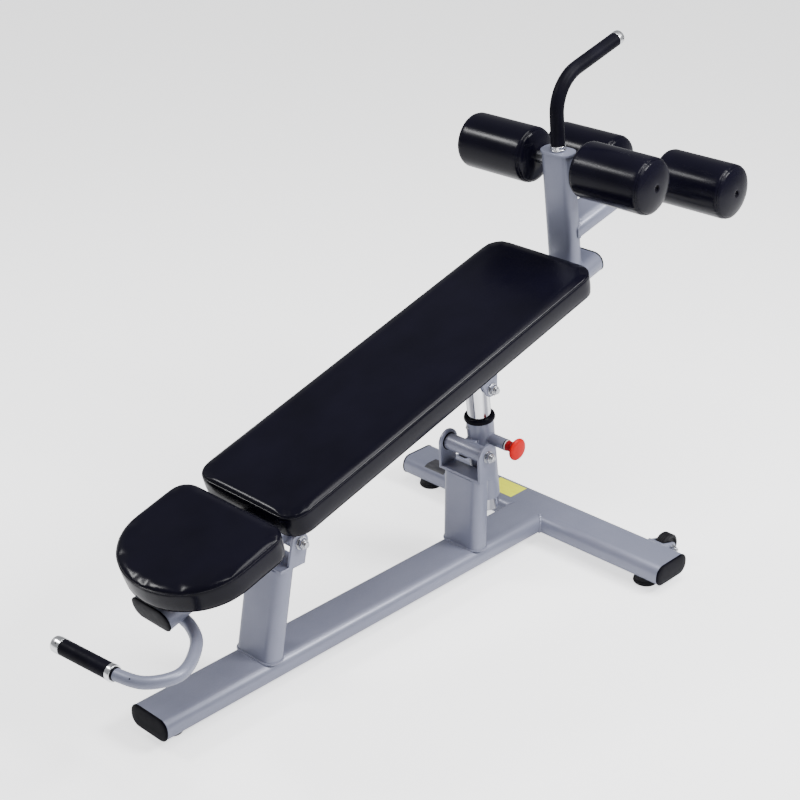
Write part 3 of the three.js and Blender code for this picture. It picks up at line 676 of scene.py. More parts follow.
def bolt_part(radius, across, half):
    """A through bolt about Z, its head below and its lock nut above plates that reach to half."""
    reach = half + GAP + WASHER
    ring = washer(across * 0.68, radius, -WASHER, 0)
    head = moved(together(hexagon(across, 0, across * 0.42), ring), UPSIDE_DOWN)
    nylon = across * 0.44
    lock = turned([(0, 0, 0), (nylon, 0, 0.8), (nylon, 2.6, 1.2), (radius, 2.6, 0)])
    thread = [washer(radius, radius - 1.2, 2.6 + k * 1.1, 3.6 + k * 1.1, 0.3, 24) for k in range(3)]
    tip = turned([(0, 0, 0), (radius - 0.8, 0, 0.2), (radius - 0.8, 6.2, 0.8), (0, 6.2, 0)], 24)
    tall = across * 0.45
    nut = together(hexagon(across, 0, tall), ring, moved(together(lock, tip, *thread), shifted(0, 0, tall)))
    shank = turned([(0, -reach, 0), (radius, -reach, 0), (radius, reach, 0), (0, reach, 0)], 24)
    return together(moved(head, shifted(0, 0, -reach)), moved(nut, shifted(0, 0, reach)), shank)


def screw_part(across, deep=2.6):
    """A button screw seen from outside, about Z, with a hexagon socket."""
    return turned([(0, 0, 0), (across / 2, 0, 0.2), (across / 2, deep * 0.4, 1.2), (across * 0.26, deep, 0.4),
                   (across * 0.2, deep, 0.2), (across * 0.2, deep - 1.4, 0), (0, deep - 1.4, 0)], 24)


# ---------- base


def rounding_of(section, across, at):
    """How far a tube's skin has fallen away at a distance from its middle, by its rounded corners."""
    corner = section["corner"]
    past = max(abs(at) - (section[across] / 2 - corner), 0)
    return corner - sqrt(max(corner ** 2 - past ** 2, 0))


def cap_part(section, plug=True):
    """A tube's end cap about X, its face towards +X from 0."""
    lip = [(0.3, 0.6), (0.6, -0.5), (1.4, -0.9), (2.6, -0.6)]
    dome = [(3.5, 0.3), (4.1, 1.7), (4.6, 4), (5, 8), (5.3, 13)]
    face = loft([[(x, a, b) for a, b in oval(section, inset)] for x, inset in lip + dome])
    inner = loft([[(x, a, b) for a, b in oval(section, 3.2)] for x in (-9, 0.6)])
    return together(face, inner) if plug else face


def build_base():
    rail_low, rail_high = node_box("base_rail")
    cross_low, cross_high = node_box("cross_tube")
    level = (rail_low.z + rail_high.z) / 2
    cross_x = (cross_low.x + cross_high.x) / 2
    at_rail = shifted(0, 0, level)
    across = shifted(cross_x, 0, level) @ X_TO_Y

    rail = frame_tube(MAIN, rail_low.x, cross_low.x + MAIN["corner"] + 0.5, far_rim=0.02)
    piece("base_rail_tube", rail, "base", "powder", at_rail, ["base_rail"])
    cross = frame_tube(MAIN, cross_low.y, cross_high.y)
    piece("cross_tube_skin", cross, "base", "powder", across, ["cross_tube"])

    # The rail's end follows the rounded side of the cross tube.
    seam = [(cross_low.x + rounding_of(MAIN, "high", z), y, z) for y, z in oval(MAIN)]
    cap = cap_part(MAIN)
    facing_front = shifted(rail_low.x, 0, level) @ ABOUT_FACE
    piece("rail_cap", cap, "base", "plastic", facing_front, ["rail_end_cap"])
    for name, side in SIDES:
        flank = [p for p in seam if p[1] * side > 0 and abs(p[2]) < MAIN["high"] / 2 - 1.5]
        flank.sort(key=lambda p: p[2])
        piece(f"rail_weld_{name}", weld(flank, loop=False), "base", "powder", at_rail)
        turn = Matrix.Rotation(radians(90 * side), 4, "Z")
        facing_out = shifted(cross_x, side * cross_high.y, level) @ turn
        piece(f"cross_cap_{name}", cap, "base", "plastic", facing_out, [f"cross_tube_cap_{name}"])

    for node in ("front_foot", "rear_foot_right", "rear_foot_left"):
        low, high = node_box(node)
        radius, tall = (high.x - low.x) / 2, high.z
        foot = turned([(0, 1.2, 0), (radius - 9, 1.2, 0.3), (radius - 8, 0, 0.4), (radius - 2.2, 0, 1.6),
                       (radius, 3.2, 1.6), (radius - 1.2, 9, 1), (radius - 2.4, 10, 0.8),
                       (radius - 2.2, 12, 0.8), (radius - 3.4, tall + 0.2, 0.5), (0, tall + 0.2, 0)])
        middle = (low + high) / 2
        piece(f"{node}_pad", foot, "base", "rubber", shifted(middle.x, middle.y, 0), [node])

    build_posts(rail_high.z)
    build_stickers(rail_high.z, cross_x)


def build_posts(rail_top):
    """Both posts, their U brackets, pivot bolts and welds."""
    front_low, front_high = node_box("front_post")
    foot = front_low.x + MAIN["high"] / 2 / cos(FRONT_POST_LEAN)
    post = leaning_tube(MAIN, foot, rail_top - 1, front_high.z + 1, FRONT_POST_LEAN)
    piece("front_post_tube", post, "base", "powder", WORLD, ["front_post"])
    seam = [(foot + b / cos(FRONT_POST_LEAN), a, rail_top) for a, b in oval(MAIN)]
    piece("front_post_weld", weld(seam), "base", "powder")
    top_x = foot + (front_high.z - rail_top) * tan(FRONT_POST_LEAN)
    seam = [(top_x + b, a, front_high.z) for a, b in oval(MAIN, 0.6)]
    piece("front_bracket_weld", weld(seam, 2.2), "base", "powder")

    mid_low, mid_high = node_box("mid_post")
    mid_x = (mid_low.x + mid_high.x) / 2
    post = leaning_tube(MAIN, mid_x, rail_top - 1, mid_high.z + 1, 0)
    piece("mid_post_tube", post, "base", "powder", WORLD, ["mid_post"])
    for name, height, radius in (("foot", rail_top, 2.4), ("bracket", mid_high.z, 1.3)):
        seam = [(mid_x + b, a, height) for a, b in oval(MAIN)]
        piece(f"mid_{name}_weld", weld(seam, radius), "base", "powder")

    front_floor = node_box("front_bracket")[0].z - HINGE.z
    front_ear = [(-33, front_floor), (9, front_floor), (18, -4), *arc(0, 0, 18.5, -0.15, pi / 2 + 0.2),
                 (-19, 15)]
    mid_floor = node_box("mid_bracket")[0].z - TRUNNION.z
    mid_ear = [(-22, mid_floor), (22, mid_floor), *arc(0, 0, 26, -0.2, pi + 0.2)]
    for name, bolt_name, place, ear, floor_x in (
        ("front_bracket", "hinge_bolt", HINGE, front_ear, (-52, 10)),
        ("mid_bracket", "trunnion_bolt", TRUNNION, mid_ear, (-22.5, 21)),
    ):
        low, high = node_box(name)
        outside, floor = high.y, low.z - place.z
        plate = box_part((floor_x[0], -outside + 0.1, floor), (floor_x[1], outside - 0.1, floor + 6), 1.2)
        bracket = together(*cheeks(ear, outside), plate)
        piece(f"{name}_plate", bracket, "base", "powder", shifted(*place), [name])
        bolt = moved(bolt_part(6, 19, outside), AGAINST_Y)
        piece(f"{bolt_name}_set", bolt, "base", "zinc", shifted(*place), [bolt_name])


def build_stickers(rail_top, cross_x):
    """Plain foils on the cross tube, bent over its rounded side, with nothing on them."""
    for name, look, x, y, wide, long in (
        ("yellow_plate", "yellow", 3, 94, 54, 76),
        ("dark_plate", "ink", -25, 268, 38, 58),
    ):
        across = [x + wide * (k / 12 - 0.5) for k in range(13)]
        upper = [(cross_x + at, rail_top - rounding_of(MAIN, "wide", at) + 0.3) for at in across]
        lower = [(at, height - 0.5) for at, height in reversed(upper)]
        ends = (y - long / 2, y + long / 2)
        foil = loft([[(at, end, height) for at, height in upper + lower] for end in ends])
        piece(name, foil, "base", look)


def build_wheels():
    fork_floor = node_box("wheel_fork_left")[0].z
    cross_high = node_box("cross_tube")[1].x
    for name, side in SIDES:
        low, high = node_box(f"wheel_{name}")
        middle = (low + high) / 2
        radius, half = (high.x - low.x) / 2, (high.y - low.y) / 2
        root = cross_high - 8 - middle.x
        shape = [(root, fork_floor - middle.z + 6), *arc(0, 0, 13, -pi / 2, pi / 2), (root, 27)]
        thick = 4
        outside = half + 1.5 + thick
        web = box_part((root - 4, -outside + 0.1, -6), (cross_high + 4 - middle.x, outside - 0.1, 26), 1)
        fork = together(*cheeks(shape, outside, thick, 0.7), web)
        piece(f"wheel_fork_{name}_plates", fork, "base", "powder", shifted(*middle), [f"wheel_fork_{name}"])
        bolt = moved(bolt_part(4, 13, outside), AGAINST_Y if side < 0 else ALONG_Y)
        piece(f"wheel_bolt_{name}_set", bolt, "base", "zinc", shifted(*middle), [f"wheel_bolt_{name}"])

        hub = [(4.4, half, 0), (9, half, 0.8), (10, half - 3.5, 1), (20, half - 3.5, 1), (21.5, half, 0.8),
               (radius - 2.5, half, 2)]
        tread = [(r, -y, rounding) for r, y, rounding in hub]
        ribs = 4
        rib = (2 * half - 4.4) / ribs
        for k in range(ribs):
            start = -half + 2.2 + k * rib
            end = start + rib
            tread += [(radius, start + 0.5, 0.7), (radius, end - 1.3, 0.7), (radius - 1.8, end - 0.9, 0.3),
                      (radius - 1.8, end, 0.3)]
        wheel = moved(turned(tread[:-2] + hub[::-1], 56, 3), ALONG_Y)
        piece(f"wheel_{name}_tyre", wheel, f"{name}_wheel", "rubber", shifted(*middle), [f"wheel_{name}"])


# ---------- bench frame


def build_beam():
    low, high = node_box("bench_beam", BENCH)
    middle = (low.z + high.z) / 2
    tube = moved(frame_tube(MAIN, low.x, high.x), shifted(0, 0, middle))
    piece("bench_beam_tube", tube, "bench", "powder", BENCH, ["bench_beam"])
    lower = BENCH @ shifted(low.x, 0, middle) @ ABOUT_FACE
    upper = BENCH @ shifted(high.x, 0, middle)
    for name, place in (("lower", lower), ("upper", upper)):
        piece(f"beam_{name}_cap", cap_part(MAIN), "bench", "plastic", place, [f"beam_cap_{name}"])
    keep("hinge_barrel", "powder")

    pin_low, pin_high = node_box("prop_pin", BENCH)
    pin_w = (pin_low.z + pin_high.z) / 2
    at_pin = BENCH @ shifted((pin_low.x + pin_high.x) / 2, 0, pin_w)
    high = node_box("prop_clevis", BENCH)[1]
    half, top = high.y, high.z - pin_w
    ear = [(-32, top), *arc(0, 0, 17, pi + 0.25, 2 * pi - 0.25), (32, top)]
    plate = box_part((-32, -half + 0.1, top - 6), (32, half - 0.1, top), 1)
    clevis = together(*cheeks(ear, half), plate)
    piece("prop_clevis_plate", clevis, "bench", "powder", at_pin, ["prop_clevis"])
    piece("prop_pin_set", moved(bolt_part(6, 19, half), AGAINST_Y), "bench", "zinc", at_pin, ["prop_pin"])


def build_post_and_arm():
    lean = ROLLER_POST["lean"]
    beam_top = node_box("bench_beam", BENCH)[1].z
    up = Vector((sin(lean), 0, cos(lean)))
    upright = Matrix(((up.x, 0, -up.z, 0), (0, 1, 0, 0), (up.z, 0, up.x, 0), (0, 0, 0, 1)))
    axis_w = beam_top - MAIN["high"] / 2
    length = (ROLLER_POST["top"] - axis_w) / cos(lean)
    at_post = BENCH @ shifted(ROLLER_POST["u"], 0, axis_w) @ upright
    tube = frame_tube(POST_TUBE, 12, length - 4.6)
    piece("roller_post_tube", tube, "bench", "powder", at_post, ["roller_post"])
    stations = [(-5, 1.4), (-4.8, 0.1), (-4.3, -0.6), (-1.1, -0.7), (-0.3, -0.2), (0, 0.7)]
    plate = loft([[(length + x, a, b) for a, b in oval(SLIM, inset)] for x, inset in stations])
    piece("roller_post_plate", plate, "bench", "powder", at_post)

    foot_u = ROLLER_POST["u"] + (beam_top - axis_w) * tan(lean)
    ring = [(foot_u + b / cos(lean), a, beam_top) for a, b in oval(POST_TUBE)]
    piece("roller_post_weld", weld(ring), "bench", "powder", BENCH)

    arm_low, arm_high = node_box("rear_arm_cap", BENCH)
    droop = Matrix.Rotation(ARM_DROOP, 4, "Y")
    end_u = node_box("rear_arm", BENCH)[1].x
    end_w = (arm_low.z + arm_high.z) / 2
    at_arm = BENCH @ shifted(end_u, 0, end_w) @ droop
    root_w = end_w + (end_u - ROLLER_POST["u"]) * tan(ARM_DROOP)
    root_u = ROLLER_POST["u"] + (root_w - axis_w) * tan(lean) + 4
    tube = frame_tube(SLIM, root_u - end_u, 0, rim=0.02)
    piece("rear_arm_tube", tube, "bench", "powder", at_arm, ["rear_arm"])
    piece("rear_arm_end", cap_part(SLIM, plug=False), "bench", "plastic", at_arm, ["rear_arm_cap"])

    # The arm's weld runs over the post's rounded back.
    seam = []
    for y, z in oval(SLIM, 0.2):
        w = root_w + z
        back = ROLLER_POST["u"] + (w - axis_w) * tan(lean) + POST_TUBE["high"] / 2 / cos(lean)
        seam.append((back - rounding_of(POST_TUBE, "wide", y), y, w))
    piece("rear_arm_weld", weld(seam), "bench", "powder", BENCH)
    keep("front_axle", "zinc")
    keep("rear_axle", "zinc")


def build_pad_plates():
    for node in ("pad_plate_front", "pad_plate_rear", "pad_plate_head"):
        keep(node, "powder")
        low, high = node_box(node, BENCH)
        for name, side in SIDES:
            for end, u in (("low", low.x + 16), ("high", high.x - 16)):
                place = BENCH @ shifted(u, side * (high.y - 18), low.z) @ UPSIDE_DOWN
                piece(f"{node}_screw_{name}_{end}", screw_part(13), "bench", "zinc", place)
    for node in ("back_pad_board", "head_pad_board"):
        keep(node, "plywood")


# ---------- handles


def build_top_handle():
    post_plate = ROLLER_POST["top"] + 0.9
    lean = radians(8.9)
    foot = Vector((894.3, 0, post_plate))
    bend, level, end = 78, 465, 1108
    up = Vector((sin(lean), 0, cos(lean)))
    bend_low = level - bend + bend * sin(lean)
    bend_start = foot.x + (bend_low - foot.z) * tan(lean)
    middle = bend_start + bend * cos(lean)
    straight = (bend_low - foot.z) / cos(lean)
    path = [foot + up * (straight * k / 8) for k in range(8)]
    path += [Vector((x, 0, w)) for x, w in arc(middle, level - bend, bend, pi - lean, pi / 2, 20)]
    path += [Vector((middle + (end - middle) * k / 8, 0, level)) for k in range(1, 9)]

    collar, grip = 11, 14.5
    total = length_of(path)
    tube = sweep(stretch_of(path, 0, total - 1), HANDLE_RADIUS, 24)
    piece("top_handle_tube", tube, "bench", "chrome", BENCH, ["top_handle"])
    sleeve = rounded_sleeve(stretch_of(path, collar + 0.4, total - 0.6), grip)
    piece("top_handle_sleeve", sleeve, "bench", "grip", BENCH, ["top_handle_grip"])
    tilted = BENCH @ shifted(*foot) @ Matrix.Rotation(lean, 4, "Y")
    ring = turned([(0, 0, 0), (16.4, 0, 0.4), (16.8, 1.2, 0.6), (16.4, 3.2, 0.6), (14.8, 3.8, 0.4),
                   (14.8, 7.6, 0.4), (16.2, 8.2, 0.6), (16.2, 10.6, 0.8), (0, collar, 0)])
    piece("top_handle_ring", ring, "bench", "chrome", tilted, ["top_handle_collar"])
    at_end = BENCH @ shifted(end, 0, level) @ Z_TO_X
    piece("top_handle_end", end_cap_part(grip + 0.2, 16.5), "bench", "satin", at_end, ["top_handle_cap"])
    dot = BENCH @ shifted(end + 9, -grip, level) @ AGAINST_Y
    piece("top_handle_set_screw", screw_part(3.4, 0.6), "bench", "plastic", dot)


def rounded_sleeve(path, radius):
    """A grip along a path, its two ends rounded and slightly swollen."""
    total = length_of(path)
    steps = [(0.0, 0.86), (0.5, 0.95), (1.4, 1.0)]
    starts = [stretch_of(path, distance, total)[0] for distance, _ in steps]
    ends = [stretch_of(path, 0, total - distance)[-1] for distance, _ in reversed(steps)]
    inside = stretch_of(path, 3, total - 3)
    shares = [share for _, share in steps]
    shares += [1.0] * len(inside) + shares[::-1]
    return sweep([*starts, *inside, *ends], lambda i: radius * shares[i], 32)


def end_cap_part(radius, long):
    """A handle's metal end cap about Z, from 0."""
    return turned([(0, 0.5, 0), (radius, 0.5, 0.5), (radius, long * 0.6, 2), (radius - 1, long - 1.5, 3),
                   (radius - 4.5, long + 0.5, 2), (radius - 8, long, 1), (0, long - 0.4, 0)])


def build_carry_handle():
    low, high = node_box("carry_handle_grip")
    level = (low.z + high.z) / 2
    rail_front = node_box("base_rail")[0].x
    hook = [(72, -8), (63, -51), (33, -103), (-45, -153), (-99, -130), (-118, -77)]
    grip_end = Vector((rail_front - 131, 61, level))
    points = [Vector((rail_front + x, y, level)) for x, y in hook]
    start = points[-1]
    along, length = (grip_end - start).normalized(), (grip_end - start).length
    path = spline([*points, start.lerp(grip_end, 0.5), grip_end])
    saddle = box_part((rail_front + 60, -20, level), (rail_front + 84, 10, level + 17), 3)
    hook_tube = together(sweep(evenly(path, 4, False), HANDLE_RADIUS, 32), saddle)
    piece("carry_handle_tube", hook_tube, "bench", "powder", WORLD, ["carry_handle"])

    heading = along.to_track_quat("Z", "Y").to_matrix().to_4x4()
    at_grip = shifted(*start) @ heading
    collar_end, grip_stop = 15, length - 9
    ring = washer(15.6, HANDLE_RADIUS, 4, collar_end, 1)
    piece("carry_handle_ring", ring, "bench", "satin", at_grip, ["carry_handle_collar"])
    # A dark plastic band just in front of the collar, proud of the tube: painted shade for the shaded gap
    # there.
    piece("carry_handle_gap_shade_band", washer(12.8, HANDLE_RADIUS - 0.5, 0.6, 4.1, 0.5), "bench", "plastic", at_grip)
    grip = [(0, collar_end + 0.3, 0), (14, collar_end + 0.3, 0.4), (15, collar_end + 1.4, 1),
            (15, grip_stop - 1.4, 1), (14, grip_stop - 0.3, 0.4), (0, grip_stop - 0.3, 0)]
    piece("carry_handle_sleeve", turned(grip), "bench", "grip", at_grip, ["carry_handle_grip"])
    at_end = at_grip @ shifted(0, 0, grip_stop)
    piece("carry_handle_end", end_cap_part(15.4, 22), "bench", "satin", at_end, ["carry_handle_cap"])

    # Its set screw, and a dark plastic disk on the tube as painted shade for a dimple, on the side that faces
    # up and to the front.
    towards_front = Vector((-0.55, -0.55, 0.63)).normalized()
    facing = (towards_front - along * towards_front.dot(along)).normalized()
    for name, centre, reach in (
        ("carry_handle_set_screw", grip_end - along, 15.3),
        ("carry_handle_dimple_shade", path[len(path) * 5 // 8], HANDLE_RADIUS),
    ):
        place = shifted(*(centre + facing * reach)) @ facing.to_track_quat("Z", "Y").to_matrix().to_4x4()
        piece(name, screw_part(3.2, 0.6), "bench", "plastic", place)


# ---------- prop


def build_prop():
    sleeve_low, sleeve_high = node_box("sleeve_tube", PROP)
    radius = (sleeve_high.y - sleeve_low.y) / 2
    at_sleeve = PROP @ shifted(SLEEVE_OFFSET, 0, 0)
    rod_low, rod_high = node_box("prop_rod", PROP)
    rod = (rod_high.y - rod_low.y) / 2
    bore = rod + 0.6
    middle = (sleeve_low.z + sleeve_high.z) / 2
    bottom, top = sleeve_low.z, sleeve_high.z
    tube = [(bore, middle, 0), (bore, bottom, 0.4), (radius, bottom, 0.8), (radius, top, 0.8),
            (bore, top, 0.4)]
    piece("sleeve_skin", ring_part(tube), "prop_sleeve", "powder", at_sleeve, ["sleeve_tube"])

    collar = [(bore, top + 5, 0), (bore, top + GAP, 0.3), (32, top + GAP, 1.6), (32.6, top + 5, 2.5),
              (31.2, top + 10.3, 2.2), (bore, top + 10.3, 1.6)]
    piece("sleeve_collar", ring_part(collar), "prop_sleeve", "plastic", at_sleeve, ["sleeve_bushing"])

    inner = rod - 3
    rod_middle = (rod_low.z + rod_high.z) / 2
    tube = [(inner, rod_middle, 0), (inner, rod_low.z, 0.5), (rod, rod_low.z, 0.8), (rod, rod_high.z, 0.8),
            (inner, rod_high.z, 0.5)]
    pin_height = 10
    drill = moved(turned([(0, 10, 0), (5.6, 10, 0), (5.6, 40, 0), (0, 40, 0)], 32), AGAINST_Y)
    pitch = 25.94
    holes = [moved(drill, at_sleeve @ shifted(0, 0, pin_height - pitch * k)) for k in range(6)]
    drilled = cut_from(mesh_of("prop_rod_tube", moved(ring_part(tube, 128), at_sleeve)), together(*holes))
    show("prop_rod_tube", drilled, "prop_inner_rod", "chrome", ["prop_rod"])

    half = node_box("trunnion_tube", PROP)[1].y
    barrel = moved(turned([(0, -half, 0), (17, -half, 0.8), (17, half, 0.8), (0, half, 0)]), ALONG_Y)
    web = box_part((0, -14, -14), (SLEEVE_OFFSET - radius + 3, 14, 14), 2)
    piece("trunnion_barrel", together(barrel, web), "prop_sleeve", "powder", PROP, ["trunnion_tube"])
    for name, side in SIDES:
        ends = sorted([side * (half - 1.7), side * (half + 0.2)])
        washer_part = moved(washer(19, 16, *ends, 0.4), ALONG_Y)
        piece(f"trunnion_washer_{name}", washer_part, "prop_sleeve", "plastic", PROP)
        reach = SLEEVE_OFFSET - sqrt(radius ** 2 - 14.0 ** 2)
        bead = [(reach, 14 * side, z * side) for z in range(-14, 15, 4)]
        piece(f"trunnion_weld_{name}", weld(bead, 1.8, loop=False), "prop_sleeve", "powder", PROP)

    build_pull_pin(at_sleeve, pin_height, radius)
    screw_way = Vector((-0.9, 0.42, 0)).normalized()
    facing = screw_way.to_track_quat("Z", "Y").to_matrix().to_4x4()
    place = at_sleeve @ shifted(*(screw_way * (radius - 0.2) + Vector((0, 0, top - 14)))) @ facing
    screw = together(screw_part(9, 3.4), washer(6.2, 3, -0.4, 0.8, 0.3, 24))
    piece("sleeve_set_screw", screw, "prop_sleeve", "zinc", place)


def build_pull_pin(at_sleeve, height, sleeve_radius):
    """The pull pin's boss, its rings, and the red knob, along -Y."""
    outward = at_sleeve @ shifted(0, 0, height) @ AGAINST_Y
    boss_end = -node_box("pin_boss", PROP)[0].y
    root = sleeve_radius - 4
    boss = [(8.4, root + 8, 0), (8.4, root, 0), (12, root, 0), (12, boss_end, 1.2), (8.4, boss_end, 0.6)]
    piece("pin_boss_tube", ring_part(boss), "prop_sleeve", "powder", outward, ["pin_boss"])
    circle = [(12 * cos(a), 12 * sin(a)) for a in around(48)]
    bead = [(x, z, sqrt(sleeve_radius ** 2 - x * x)) for x, z in circle]
    piece("pin_boss_weld", weld(bead, 2.0), "prop_sleeve", "powder", outward)
    keep("return_spring", "zinc")

    knob_end = -node_box("pull_knob", PROP)[0].y
    base = boss_end + 1.2
    neck_ring = ring_part([(6, base, 0), (12.2, base - 1.0, 0.4), (12.4, base + 1.4, 0.5),
                           (6, base + 1.4, 0)])
    piece("pull_ring_dark", neck_ring, "pull_pin_and_knob", "plastic", outward)
    white = ring_part([(6, base + 2, 0), (6, base + 1.4, 0), (12.1, base + 1.4, 0.4), (12.1, base + 3.2, 0.5),
                       (6, base + 3.2, 0)])
    piece("pull_ring_white", white, "pull_pin_and_knob", "white", outward)
    neck = turned([(0, base + 3, 0), (11.4, base + 3, 0.6), (10.4, base + 9, 3), (10.6, base + 15, 3),
                   (13.5, base + 20.5, 2), (15, base + 23, 0.4), (0, base + 24, 0)])
    piece("pull_knob_neck", neck, "pull_pin_and_knob", "dark_red", outward)
    head = turned([(0, base + 20, 0), (12.5, base + 20, 0.6), (21.5, base + 24.2, 1.6),
                   (23.6, base + 27, 2.4), (23.2, knob_end - 5.2, 2.4), (19, knob_end - 1.6, 4),
                   (9, knob_end - 0.1, 4), (0, knob_end, 0)], 64)
    piece("pull_knob_head", head, "pull_pin_and_knob", "red", outward, ["pull_knob"])
    keep("pull_pin", "zinc")


# ---------- padding


CLOTH_FRAMES = 20


def apply_modifiers(obj):
    """Puts what the modifiers make into the mesh itself."""
    graph = bpy.context.evaluated_depsgraph_get()
    made = bpy.data.meshes.new_from_object(obj.evaluated_get(graph))
    obj.modifiers.clear()
    obj.data = made


def swell(name, part, voxel, held, limit, calm):
    """An upholstered form in metres: the part remeshed, then blown up as cloth under its seams and board.

    held says whether a point, in millimetres, is sewn or stapled down. No point moves more than limit.
    """
    obj = add_object(name, mesh_of(name, part))
    remesh = obj.modifiers.new("remesh", "REMESH")
    remesh.mode = "VOXEL"
    remesh.voxel_size = voxel * M
    apply_modifiers(obj)
    group = obj.vertex_groups.new(name="held")
    group.add([v.index for v in obj.data.vertices if held(v.co / M)], 1.0, "REPLACE")
    rest = [v.co.copy() for v in obj.data.vertices]
    cloth = obj.modifiers.new("cloth", "CLOTH")
    cloth.settings.use_pressure = True
    cloth.settings.uniform_pressure_force = 4
    cloth.settings.vertex_group_mass = "held"
    cloth.settings.effector_weights.gravity = 0
    cloth.point_cache.frame_end = CLOTH_FRAMES
    for number in range(1, CLOTH_FRAMES + 1):
        bpy.context.scene.frame_set(number)
    graph = bpy.context.evaluated_depsgraph_get()
    swollen = [v.co.copy() for v in obj.evaluated_get(graph).data.vertices]
    obj.modifiers.clear()
    bpy.context.scene.frame_set(1)
    for vertex, start, end in zip(obj.data.vertices, rest, swollen):
        move = end - start
        length = min(move.length, limit * M)
        vertex.co = start + (move.normalized() * length if move.length > 0 else move)
    smooth = obj.modifiers.new("smooth", "SMOOTH")
    smooth.factor = 0.5
    smooth.iterations = calm
    finer = obj.modifiers.new("finer", "SUBSURF")
    finer.levels = 1
    finer.render_levels = 1
    apply_modifiers(obj)
    mesh = obj.data
    bpy.data.objects.remove(obj)
    mesh.shade_smooth()
    mesh.name = name
    return mesh


def hugging(mesh, rays, lift):
    """Where rays of (start, direction) in millimetres meet a mesh, lifted off it."""
    tree = BVHTree.FromPolygons([v.co for v in mesh.vertices], [p.vertices for p in mesh.polygons])
    found = []
    for start, way in rays:
        hit, *_ = tree.ray_cast(Vector(start) * M, Vector(way).normalized())
        if hit is not None:
            found.append(hit / M - Vector(way).normalized() * lift)
    for _ in range(2):
        found = [(found[i - 1] + found[i] * 2 + found[(i + 1) % len(found)]) / 4 for i in range(len(found))]
    return found


def head_outline(back, flank, front, half, corner, inset):
    """The head pad's plan: square towards the back pad and a half oval at the front."""
    outline = arc(back - corner, half - corner, corner - inset, 0, pi / 2, 8)
    for k in range(33):
        angle = pi / 2 + pi * k / 32
        outline.append((flank + (flank - front - inset) * cos(angle), (half - inset) * sin(angle)))
    return outline + arc(back - corner, -half + corner, corner - inset, 1.5 * pi, 2 * pi, 8)


def build_pad(name, body, outline, low, high):
    """A seat pad from a function that gives its plan at an inset: crowned top, seam, and side band."""
    edge, seam, swelling = 4.6, high - 4.5, 2.0
    quarter = [radians(15 * k) for k in range(7)]
    bulge = 2.4
    stations = [(low + 0.5, 4), (low + 1.4, 1.4), (low + 3.6, 0), (low + 18, -1.6), (seam - 6, -2.2),
                (seam, -bulge)]
    stations += [(high + 1.5 - 6 * (1 - sin(a)), edge * (1 - cos(a)) - bulge) for a in quarter]
    stations += [(high + 1.3, 8), (high + 0.7, 18), (high + 0.4, 36), (high + 0.5, 60)]
    form = loft([[(x, y, w) for x, y in outline(inset)] for w, inset in stations])
    rim = evenly_flat(outline(0))

    def held(point):
        return point.z < low + 3.5 or abs(point.z - seam) < 2.4 and on_edge(point)

    def on_edge(point):
        return min((Vector((point.x, point.y)) - Vector(p)).length for p in rim) < 22

    mesh = swell(name, form, 4.8, held, swelling, calm=3)
    pucker(mesh, seam)
    for label, height, radius in (("top", seam, 1.25), ("hem", low + 5, 0.9)):
        rays = []
        for (x, y), outward in zip(rim, outward_of(rim)):
            start = Vector((x + outward.x * 25, y + outward.y * 25, height))
            rays.append((start, (-outward.x, -outward.y, 0)))
        welt = sweep(hugging(mesh, rays, 0.25), radius, 8, loop=True)
        piece(f"{name}_seam_{label}", welt, body, "vinyl", BENCH)

    mesh.transform(Matrix.Translation(HINGE * M) @ BENCH.to_3x3().to_4x4())
    pad = show(f"{name}_cover", mesh, body, "vinyl", [name])


def evenly_flat(outline, step=5):
    return [(p.x, p.y) for p in evenly([(x, y, 0) for x, y in outline], step)]


def pucker(mesh, seam):
    """Small gathers that run off the seam, across it, and a shallow valley along it."""
    normals = [v.normal.copy() for v in mesh.vertices]
    for vertex, normal in zip(mesh.vertices, normals):
        point = vertex.co / M
        steepness = min(max((0.97 - abs(normal.z)) / 0.3, 0), 1)
        off = point.z - seam
        nearness = exp(-(off / 13) ** 2)
        gathers = noise.noise(Vector((point.x * 0.075, point.y * 0.075, point.z * 0.012)))
        valley = exp(-(off / 2.4) ** 2)
        vertex.co += normal * ((gathers * 0.17 * nearness - valley * 0.8) * steepness * M)


def build_pads():
    low, high = node_box("back_pad", BENCH)
    middle = (low.x + high.x) / 2
    half_long, half_wide, corner = (high.x - low.x) / 2, high.y, 37

    def back_plan(inset):
        reach = min(inset, corner - 1)
        extra = inset - reach
        plan = rounded(half_long - extra - corner, half_wide - extra - corner, corner - reach, 10)
        return [(x + middle, y) for x, y in plan]

    build_pad("back_pad", "bench", back_plan, low.z, high.z)

    low, high = node_box("head_pad", BENCH)

    def head_plan(inset):
        reach = min(inset, 33)
        extra = inset - reach
        return head_outline(high.x - extra, -192, low.x + extra, high.y - extra, 34, reach)

    build_pad("head_pad", "bench", head_plan, low.z, high.z)


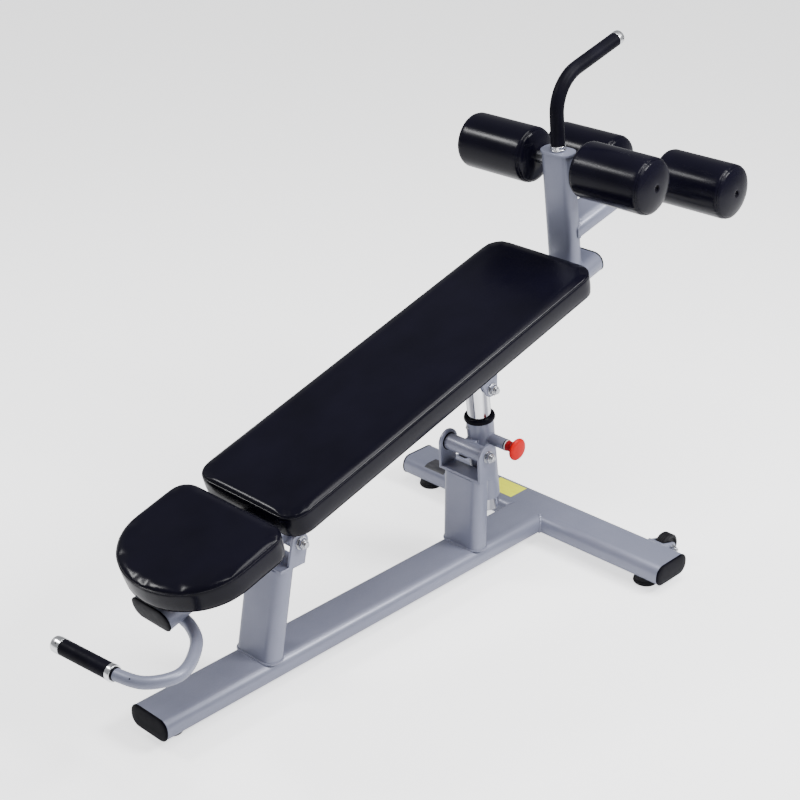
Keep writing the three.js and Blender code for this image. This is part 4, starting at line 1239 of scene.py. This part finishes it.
def build_rollers():
    """One leg roller, swollen once and shown four times."""
    low, high = node_box("front_roller_left")
    radius, half = (high.x - low.x) / 2 + 1, (high.y - low.y) / 2 + 1
    soft = radius - 0.4
    seam = half - 12.5
    dome = [(0, half - 0.6, 0), (20, half - 0.9, 8), (38, half - 4, 9), (soft - 4, half - 9.5, 5),
            (soft, half - 14, 4)]
    profile = [(r, -y, rounding) for r, y, rounding in dome] + dome[::-1]
    form = moved(turned(profile, 72, 6), ALONG_Y)

    def held(point):
        return hypot(point.x, point.z) < 22 or abs(abs(point.y) - seam) < 2.2

    mesh = swell("roller_cover", form, 4, held, 3.2, calm=4)
    for vertex in mesh.vertices:
        point = vertex.co / M
        out = hypot(point.x, point.z)
        if point.y > 0 and out < 10:
            vertex.co.y -= 7 * M * exp(-(out / 5.2) ** 4)
        off = abs(point.y) - seam
        angle = atan2(point.z, point.x)
        gathers = noise.noise(Vector((cos(angle) * 9, sin(angle) * 9, point.y * 0.012)))
        if out > 30:
            depth = gathers * 0.5 * exp(-(off / 12) ** 2) - 1.7 * exp(-(off / 2.0) ** 2)
            vertex.co += Vector((cos(angle), 0, sin(angle))) * (depth * M)

    welts = []
    for place in (-seam, seam):
        rays = []
        for angle in around(120):
            way = Vector((cos(angle), 0, sin(angle)))
            rays.append((way * (radius + 20) + Vector((0, place, 0)), -way))
        welts.append(sweep(hugging(mesh, rays, 0.4), 1.2, 8, loop=True))
    eyelet = ring_part([(5, half - 3, 0), (5, half - 6, 0.3), (6.4, half - 6, 0.3), (7.4, half - 1.1, 0.5),
                        (5, half - 1.1, 0.5)], 32)
    bush = turned([(0, half - 7, 0), (5.4, half - 7, 0), (5.4, half - 5.4, 0), (0, half - 5.4, 0)], 24)
    trim = {"seams": (mesh_of("roller_seams", together(*welts)), "vinyl"),
            "eyelet": (mesh_of("roller_eyelet", moved(together(eyelet, bush), ALONG_Y)), "plastic")}

    for row in ("front", "rear"):
        for name, side in SIDES:
            node = f"{row}_roller_{name}"
            node_low, node_high = node_box(node)
            place = (node_low + node_high) / 2 * M
            turn = Matrix.Rotation(0 if side > 0 else pi, 4, "Z")
            body = f"{row}_{name}_roller"
            for label, (shared, look) in {"cover": (mesh, "vinyl"), **trim}.items():
                made = show(f"{node}_{label}", shared, body, look)
                made.matrix_world = Matrix.Translation(place) @ turn
                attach(made, body)
                if label == "cover":
                    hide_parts(node)


build_studio()
build_base()
build_wheels()
build_beam()
build_post_and_arm()
build_pad_plates()
build_top_handle()
build_carry_handle()
build_prop()
build_pads()
build_rollers()
